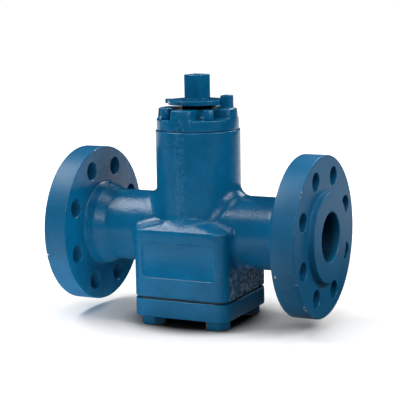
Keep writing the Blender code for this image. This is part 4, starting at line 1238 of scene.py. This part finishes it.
class VALVE_OT_weather_seal(Operator):
    """Builds the rubber ring between cap and collar."""

    bl_idname = "valve.weather_seal"
    bl_label = "Weather Seal"

    def execute(self, context):
        low, high = BOX["weather_seal"]
        outer = high.x
        inner = outer - SEAL_WALL
        corners = [(outer, high.z), (inner, high.z), (inner, low.z), (outer, low.z)]
        profile = rounded(corners, [0.0005] * 4, 4, closed=True)
        seal = turned("rubber_seal", profile, 128, closed=True)
        finished(seal, "valve_body", FINISHES["rubber"], ["weather_seal"])
        return {"FINISHED"}


class VALVE_OT_plug(Operator):
    """Builds the tapered plug with its tall port, tang, ball cup and sealant grooves."""

    bl_idname = "valve.plug"
    bl_label = "Taper Plug"

    def execute(self, context):
        low, high = BOX["plug"]
        top = BOX["coupling_ring"][0].z - FIT
        top_radius = seat_radius(top) - FIT
        low_radius = seat_radius(low.z) - FIT
        corners = [(0.0, top), (top_radius, top), (low_radius, low.z), (0.0, low.z)]
        plug = turned("taper_plug", rounded(corners, [0.0, 0.0008, 0.0008, 0.0], 4), 192)
        tang = edged_plate("tang", rounded_rectangle(0.018, 0.005, 0.0006, 3), top - OVER, high.z, 0.0004)
        shaped(plug, "UNION", tang)
        outline = slot_outline(PORT_HALF_WIDTH, PORT_HALF_HEIGHT)
        wide = slot_outline(PORT_HALF_WIDTH + 0.0006, PORT_HALF_HEIGHT + 0.0006)
        through = low_radius + OVER
        flare = 0.004
        places = [-through, flare - through, through - flare, through]
        port = lying("port", [wide, outline, outline, wide], places)
        cup = [(0.0, low.z + 0.003), (0.007, low.z + 0.003), (0.0075 + OVER, low.z - OVER), (0.0, low.z - OVER)]
        shaped(plug, "DIFFERENCE", port, turned("cup", cup, 64), groove_tool(low.z + 0.008, top - 0.008))
        finished(plug, "stem_and_plug", FINISHES["iron"], ["plug"])
        return {"FINISHED"}


def groove_tool(low, high):
    """Four slots that follow the taper: a narrow bar laid along it at 45, 135, 225 and 315 degrees."""
    bars = []
    outline = rounded_rectangle(0.003, 0.0015, 0.0005, 3)
    for number in range(4):
        rings = [outline + np.array([seat_radius(height) - FIT + 0.0018, 0.0]) for height in (low, high)]
        spin = Matrix.Rotation((number + 0.5) * math.pi / 2, 4, "Z")
        bars.append(moved(column("bar", rings, [low, high]), matrix=spin))
    return joined("grooves", bars)


# Materials


class Wire:
    """A socket that takes part in sums: each operator adds its Math node and gives the node's socket."""

    def __init__(self, tree, socket):
        self.tree = tree
        self.socket = socket

    def maths(self, operation, *others):
        return node(self.tree, "ShaderNodeMath", {"operation": operation}, dict(enumerate((self, *others))))

    def __add__(self, other):
        return self.maths("ADD", other)

    def __sub__(self, other):
        return self.maths("SUBTRACT", other)

    def __rsub__(self, other):
        return self * -1.0 + other

    def __mul__(self, other):
        return self.maths("MULTIPLY", other)

    def __gt__(self, other):
        return self.maths("GREATER_THAN", other)

    def __lt__(self, other):
        return self.maths("LESS_THAN", other)

    __radd__ = __add__
    __rmul__ = __mul__

    def absolute(self):
        return self.maths("ABSOLUTE")

    def wave(self):
        return self.maths("SINE")

    def ramp(self, low, high):
        """0 at low, 1 at high, smooth between them."""
        settings = {"interpolation_type": "SMOOTHSTEP"}
        return node(self.tree, "ShaderNodeMapRange", settings, {"Value": self, "From Min": low, "From Max": high})


def node(tree, kind, settings=None, values=None, output=0):
    """Adds a node: first its settings, then the values or links of its sockets. Gives one of its outputs."""
    made = tree.nodes.new(kind)
    for name, value in (settings or {}).items():
        setattr(made, name, value)
    for name, value in (values or {}).items():
        feed(tree, made.inputs[name], value)
    return Wire(tree, made.outputs[output])


def feed(tree, socket, value):
    """Links a wire to a socket, or sets the socket to a number, a colour or a vector."""
    if isinstance(value, Wire):
        tree.links.new(value.socket, socket)
    elif socket.type == "RGBA" and len(value) == 3:
        socket.default_value = (*value, 1.0)
    else:
        socket.default_value = value


class Finish:
    """A material whose patterns read object coordinates, in metres."""

    def __init__(self, name):
        self.material = bpy.data.materials.new(name)
        self.material.use_nodes = True
        self.tree = self.material.node_tree
        self.shader = self.tree.nodes["Principled BSDF"]
        self.place = node(self.tree, "ShaderNodeTexCoord", output="Object")

    def node(self, kind, settings=None, values=None, output=0):
        return node(self.tree, kind, settings, values, output)

    def noise(self, size, detail=3.0, roughness=0.5, distortion=0.0):
        """Noise about 0.5 whose patches are about the given size."""
        values = {
            "Vector": self.place,
            "Scale": 1 / size,
            "Detail": detail,
            "Roughness": roughness,
            "Distortion": distortion,
        }
        return self.node("ShaderNodeTexNoise", None, values, "Fac")

    def axes(self):
        parts = self.tree.nodes.new("ShaderNodeSeparateXYZ")
        feed(self.tree, parts.inputs[0], self.place)
        return [Wire(self.tree, socket) for socket in parts.outputs]

    def mix(self, share, low, high):
        """A colour between two, by a share from 0 to 1."""
        mixer = self.tree.nodes.new("ShaderNodeMix")
        mixer.data_type = "RGBA"
        feed(self.tree, mixer.inputs[0], share)
        feed(self.tree, mixer.inputs[6], low)
        feed(self.tree, mixer.inputs[7], high)
        return Wire(self.tree, mixer.outputs[2])

    def near(self, point, reach):
        """1 at a point, falling to 0 at a distance from it."""
        settings = {"operation": "DISTANCE"}
        apart = self.node("ShaderNodeVectorMath", settings, {0: self.place, 1: point}, "Value")
        return 1 - apart.ramp(0.0, reach)

    def bump(self, height):
        """Bump from a height in metres."""
        return self.node("ShaderNodeBump", None, {"Strength": 1.0, "Distance": 1.0, "Height": height})

    def surface(self, **values):
        """Feeds the shader's own sockets, named with underscores for spaces."""
        for name, value in values.items():
            feed(self.tree, self.shader.inputs[name.replace("_", " ")], value)
        return self.material


def scaled(colour, share):
    return tuple(min(1.0, part * share) for part in colour)


def paint(name, colours, grain, swell):
    """Blue enamel over cast or machined metal.

    Cast metal shows through as grain and slow swells, and a ground-off seam runs up the barrel and the cap, its
    enamel lightened as a painted highlight.
    The enamel's own skin is an orange peel. It is smoother and duller on the turned flanges, chipped in a few
    places on their rims, and scuffed low on the box's right side. Painted shade darkens the bore.
    """
    finish = Finish(name)
    blue = tuple(colours.paint)
    x, y, z = finish.axes()
    clouds = finish.noise(0.030, 4.0, 0.6)
    mottle = finish.noise(0.004, 3.0, 0.6)
    tone = clouds.ramp(0.3, 0.7) * 0.6 + mottle.ramp(0.3, 0.7) * 0.4
    rise = z - PIPE_HEIGHT
    shade = finish.mix(tone, scaled(blue, 0.84), scaled(blue, 1.16))
    ground = finish.noise(0.004, 5.0, 0.7)
    # painted highlight: a lighter strip up the front and back of the barrel and cap stands in for a soft highlight;
    # its roughness and bump belong to the real ground-off seam
    seam = (1 - x.absolute().ramp(0.0035, 0.0075)) * (z > PIPE_HEIGHT + 0.01) * (y.absolute() > 0.03)
    seam = seam * ground.ramp(0.42, 0.62)
    shade = finish.mix(seam * 0.25, shade, SEAM_HIGHLIGHT_BLUE)
    from_axis = (y * y + rise * rise).maths("SQRT")
    edge = (x.absolute() - (PIPE_END - 0.0190)).absolute().ramp(0.0105, 0.0122)
    rim = from_axis.ramp(FLANGE_RADIUS - 0.0016, FLANGE_RADIUS - 0.0006) * edge * (x.absolute() > 0.1)
    flakes = finish.noise(0.0026, 3.0, 0.6, 0.3)
    worn = finish.noise(0.020, 2.0)
    chipped = rim * (flakes * 0.6 + worn * 0.6).ramp(0.735, 0.75)
    for point, reach in CHIPS:
        chipped = chipped + (finish.near(point, reach) + (flakes - 0.5) * 2.2).ramp(0.95, 1.0)
    chipped = chipped.maths("MINIMUM", 1.0)
    box_side = x.ramp(BOX_HALF - 0.0010, BOX_HALF - 0.0003) * (x < 0.07) * (rise > BODY_BOTTOM)
    box_side = box_side * (1 - rise.ramp(-0.040, -0.026))
    scuffs = finish.noise(0.0070, 4.0, 0.7, 2.0)
    scuffed = box_side * y.ramp(-0.050, -0.035) * scuffs.ramp(0.50, 0.58)
    shade = finish.mix(scuffed * 0.8, shade, SCUFF_GREY)
    # painted shade: the enamel turns dark inside the bore, where little light reaches
    painted_bore_shade = (1 - from_axis.ramp(0.0257, 0.0264)) * (1 - x.absolute().ramp(PIPE_END - 0.010, PIPE_END - 0.001))
    shade = finish.mix(painted_bore_shade * 0.8, shade, BORE_SHADE_BLUE)
    shade = finish.mix(chipped, shade, tuple(colours.primer))
    machined = x.absolute().ramp(PIPE_END - 0.0315, PIPE_END - 0.0305)
    rough = 0.15 + clouds * 0.08 + mottle * 0.08 + chipped * 0.25 + seam * 0.12 + scuffed * 0.2 + machined * 0.22
    coarse = 1 - machined * 0.7
    peel = finish.noise(0.0034, 2.0, 0.5)
    cast = finish.noise(0.0026, 3.0, 0.6)
    slow = finish.noise(0.014, 2.0, 0.5)
    height = (peel * 0.00006 + cast * grain + slow * swell) * coarse + (seam * 0.0001 + box_side * 0.0005) * cast
    height = height - chipped * 0.00012
    return finish.surface(
        Base_Color=shade, Roughness=rough, Metallic=0.0, Specular_IOR_Level=0.33, Normal=finish.bump(height)
    )


def metal(name, colour, roughness, pitch, ridge):
    """Bare metal with rings of turning marks about the stem axis, streaks of wear and a dull film."""
    finish = Finish(name)
    x, y, z = finish.axes()
    clouds = finish.noise(0.012, 4.0, 0.6)
    fine = finish.noise(0.0009, 3.0, 0.6)
    radius = (x * x + y * y).maths("SQRT")
    marks = ((radius + z) * (2 * math.pi / pitch) + clouds * 2.0).wave()
    tone = finish.mix(clouds.ramp(0.3, 0.7), scaled(colour, 0.75), scaled(colour, 1.15))
    rough = roughness + clouds * 0.14 + fine * 0.06
    height = marks * ridge + fine * 0.00001
    return finish.surface(Base_Color=tone, Roughness=rough, Metallic=1.0, Normal=finish.bump(height))


def dull(name, colour, roughness, grain_size, grain):
    """A dark, grainy, non-metallic stuff such as graphite or rubber."""
    finish = Finish(name)
    clouds = finish.noise(0.010, 3.0)
    fine = finish.noise(grain_size, 4.0, 0.7)
    tone = finish.mix(fine.ramp(0.3, 0.7), scaled(colour, 0.7), scaled(colour, 1.5))
    rough = roughness + clouds * 0.12
    return finish.surface(
        Base_Color=tone, Roughness=rough, Metallic=0.0, Specular_IOR_Level=0.2, Normal=finish.bump(fine * grain)
    )


# lighter colour of the painted highlight along the seam
SEAM_HIGHLIGHT_BLUE = (0.045, 0.17, 0.29)
SCUFF_GREY = (0.34, 0.38, 0.42)
# colour of the painted shade inside the bore
BORE_SHADE_BLUE = (0.001, 0.010, 0.026)
# Where the enamel has chipped off a rim, and how far round each place
CHIPS = (
    ((-0.1392, -0.0795, 0.0725), 0.006),
    ((-0.1392, -0.0770, 0.0655), 0.004),
    ((0.1185, -0.0780, 0.0680), 0.004),
    ((0.1225, -0.0765, 0.0640), 0.003),
)
PAINTS = {}
FINISHES = {}


class VALVE_OT_finishes(Operator):
    """Makes the paints and metals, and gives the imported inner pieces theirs."""

    bl_idname = "valve.finishes"
    bl_label = "Finishes"

    def execute(self, context):
        colours = context.scene.valve_colours
        PAINTS["cast"] = paint("blue_enamel_cast", colours, 0.00034, 0.00030)
        PAINTS["smooth"] = paint("blue_enamel_smooth", colours, 0.00005, 0.00008)
        machined = tuple(colours.machined)
        FINISHES["machined"] = metal("turned_steel", machined, 0.26, 0.0005, 0.000012)
        FINISHES["hard"] = metal("polished_steel", (0.60, 0.60, 0.62), 0.12, 0.0004, 0.000004)
        FINISHES["iron"] = metal("ground_iron", (0.24, 0.25, 0.26), 0.42, 0.0008, 0.000015)
        FINISHES["bronze"] = metal("turned_bronze", tuple(colours.bronze), 0.30, 0.0005, 0.000012)
        FINISHES["graphite"] = dull("pressed_graphite", (0.035, 0.035, 0.038), 0.50, 0.0007, 0.00004)
        FINISHES["rubber"] = dull("moulded_rubber", (0.005, 0.005, 0.006), 0.70, 0.0010, 0.00002)
        for finish, names in (
            ("machined", ("coupling_ring", "packing_washer")),
            ("hard", ("thrust_ball", "thrust_pad")),
            ("bronze", ("stem_bush", "thrust_washer")),
            ("graphite", ("packing_ring_1", "packing_ring_2", "packing_ring_3")),
        ):
            for name in names:
                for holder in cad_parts[name].material_slots:
                    holder.material = FINISHES[finish]
        return {"FINISHED"}


# Stage


# Each lamp's name, azimuth, elevation, distance, width and height
LAMPS = (
    ("key", -74, 53, 1.3, 0.9, 0.40),
    ("top", 20, 84, 1.1, 0.6, 0.4),
    ("front", 14, 26, 1.6, 0.5, 0.45),
    ("back", 168, 38, 1.6, 0.8, 0.5),
    ("right", 84, 34, 1.5, 0.7, 0.7),
)
LENS = 120.05
FRAME_WIDTH = 36.0
AIM = (0.0008, 0.0, PIPE_HEIGHT + 0.0304)


def lamp(name, place, aim, size, size_y, power):
    """A rectangular white lamp at a place, turned to face its aim."""
    data = bpy.data.lights.new(name, "AREA")
    data.shape = "RECTANGLE"
    data.size = size
    data.size_y = size_y
    data.energy = power
    made = bpy.data.objects.new(name, data)
    bpy.context.scene.collection.objects.link(made)
    made.location = place
    made.rotation_euler = (Vector(aim) - Vector(place)).to_track_quat("-Z", "Y").to_euler()


def polar(azimuth, elevation, distance, about):
    """A place seen from about: azimuth in degrees from the front towards the right, elevation upwards."""
    turn, rise = math.radians(azimuth), math.radians(elevation)
    level = math.cos(rise)
    return Vector(about) + distance * Vector((math.sin(turn) * level, -math.cos(turn) * level, math.sin(rise)))


def seen_rays(tree):
    """1 for rays that look straight or through clear stuff at a surface, and 1 for mirrored rays."""
    rays = tree.nodes.new("ShaderNodeLightPath")
    camera, glossy, clear = (
        Wire(tree, rays.outputs[name]) for name in ("Is Camera Ray", "Is Glossy Ray", "Is Transmission Ray")
    )
    return camera.maths("MAXIMUM", clear), glossy


def floor_paper():
    """White paper. Seen directly it glows a little away from the valve, so that the far floor stays white, and it
    is darkened right under the valve as a painted shadow.

    It throws most of its light back at the left front as painted bounce light: for diffuse rays it glows there
    and is dark elsewhere. Shiny surfaces see a painted reflection of it, bright in a strip in front of the
    valve and well behind it, and dark elsewhere.
    """
    finish = Finish("floor_paper")
    x, y, z = finish.axes()
    seen, glossy = seen_rays(finish.tree)
    distance = (x * x + y * y).maths("SQRT")
    fine = finish.noise(0.02, 3.0)
    paper = finish.mix(fine, (0.80, 0.80, 0.80), (0.83, 0.83, 0.83))
    # painted bounce light: for diffuse rays the paper glows in a pool at the left front and is dark elsewhere
    left_front = ((x + 0.13) * (x + 0.13) + (y + 0.19) * (y + 0.19)).maths("SQRT")
    painted_bounce_pool = (1 - left_front.ramp(0.12, 0.33)) * distance.ramp(0.05, 0.11)
    painted_bounce_tone = finish.mix(painted_bounce_pool, (0.12, 0.12, 0.12), paper)
    # painted shadow: seen directly, the paper turns nearly black right under the valve
    painted_shadow_paper = finish.mix(distance.ramp(0.045, 0.090), (0.03, 0.03, 0.03), paper)
    tone = finish.mix(glossy, finish.mix(seen, painted_bounce_tone, painted_shadow_paper), (0.0, 0.0, 0.0))
    lift = distance.ramp(0.085, 0.20) * 0.25 + distance.ramp(0.3, 0.9) * 0.75
    # painted reflection: shiny surfaces see the paper glow in a strip in front of the valve and well behind it, and
    # black elsewhere
    front = (1 - y.ramp(-0.30, -0.14) * 0.85) * (1 - y.ramp(0.0, 0.15)) * y.ramp(-0.70, -0.50) * 0.8
    behind = y.ramp(0.36, 0.52) * (1 - x.ramp(0.62, 0.80)) * 1.25
    glow = seen * lift + glossy * (front + behind) + (1 - seen) * (1 - glossy) * painted_bounce_pool * 1.5
    return finish.surface(
        Base_Color=tone, Roughness=0.9, Specular_IOR_Level=0.0, Emission_Color=glow, Emission_Strength=1.0
    )


def camera(studio):
    """The camera, turned to the valve and then rolled about its line of sight."""
    data = bpy.data.cameras.new("camera")
    data.sensor_width = FRAME_WIDTH
    data.lens = LENS
    data.clip_start = 0.05
    data.clip_end = 50.0
    made = bpy.data.objects.new("camera", data)
    bpy.context.scene.collection.objects.link(made)
    azimuth, elevation = math.degrees(studio.camera_azimuth), math.degrees(studio.camera_elevation)
    target = Vector(AIM)
    place = polar(azimuth, elevation, studio.camera_distance, target)
    back = (place - target).normalized()
    level = Vector((math.cos(studio.camera_azimuth), math.sin(studio.camera_azimuth), 0.0))
    upright = back.cross(level)
    lean_cos, lean_sin = math.cos(studio.camera_roll), math.sin(studio.camera_roll)
    right = lean_cos * level + lean_sin * upright
    up = -lean_sin * level + lean_cos * upright
    made.matrix_world = Matrix.Translation(place) @ Matrix((right, up, back)).transposed().to_4x4()
    return made


class VALVE_OT_stage(Operator):
    """Sets up the floor, the room, the lamps and the camera."""

    bl_idname = "valve.stage"
    bl_label = "Stage"

    def execute(self, context):
        studio = context.scene.valve_studio
        middle = (0.0, 0.0, 0.12)
        floor = turned("floor", [(0.0, -0.02), (9.0, -0.02), (9.0, -0.0002), (0.0, -0.0002)], 96)
        floor.data.materials.append(floor_paper())
        world = bpy.data.worlds.new("room")
        context.scene.world = world
        world.use_nodes = True
        tree = world.node_tree
        seen, glossy = seen_rays(tree)
        direction = node(tree, "ShaderNodeTexCoord", output="Generated")
        lit_from = polar(-40, 10, 1.0, (0, 0, 0))
        settings = {"operation": "DOT_PRODUCT"}
        facing = node(tree, "ShaderNodeVectorMath", settings, {0: direction, 1: lit_from}, "Value")
        soft = (facing * 0.5 + 0.5) * studio.surround
        strength = seen + (1 - seen) * (glossy * studio.sheen + (1 - glossy) * soft)
        feed(tree, tree.nodes["Background"].inputs["Color"], strength)
        for name, azimuth, elevation, distance, width, height in LAMPS:
            power = getattr(studio, f"{name}_power")
            lamp(f"{name}_lamp", polar(azimuth, elevation, distance, middle), middle, width, height, power)
        context.scene.camera = camera(studio)
        context.scene.view_settings.view_transform = "Standard"
        return {"FINISHED"}


OPERATORS = (
    VALVE_OT_finishes,
    VALVE_OT_casting,
    VALVE_OT_top_cap,
    VALVE_OT_cap_screws,
    VALVE_OT_bottom_cover,
    VALVE_OT_cover_bolts,
    VALVE_OT_adjuster,
    VALVE_OT_stem,
    VALVE_OT_stop_collar,
    VALVE_OT_weather_seal,
    VALVE_OT_plug,
    VALVE_OT_stage,
)


class VALVE_PT_panel(Panel):
    """Lists the valve's pieces in the order in which they are built."""

    bl_idname = "VALVE_PT_panel"
    bl_label = "Plug Valve"
    bl_space_type = "VIEW_3D"
    bl_region_type = "UI"
    bl_category = "Valve"

    def draw(self, context):
        for operator in OPERATORS:
            self.layout.operator(operator.bl_idname)


GROUPS = {
    "valve_casting": CastingSizes,
    "valve_cap": CapSizes,
    "valve_stem": StemSizes,
    "valve_colours": FinishColours,
    "valve_studio": StudioSettings,
}


def register():
    for item in (*GROUPS.values(), *OPERATORS, VALVE_PT_panel):
        bpy.utils.register_class(item)
    for name, group in GROUPS.items():
        setattr(bpy.types.Scene, name, PointerProperty(type=group))


def unregister():
    for name in GROUPS:
        delattr(bpy.types.Scene, name)
    for item in (VALVE_PT_panel, *reversed(OPERATORS), *reversed(list(GROUPS.values()))):
        bpy.utils.unregister_class(item)


def main():
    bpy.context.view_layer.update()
    register()
    for operator in OPERATORS:
        group, name = operator.bl_idname.split(".")
        getattr(getattr(bpy.ops, group), name)()


if __name__ == "__main__":
    main()
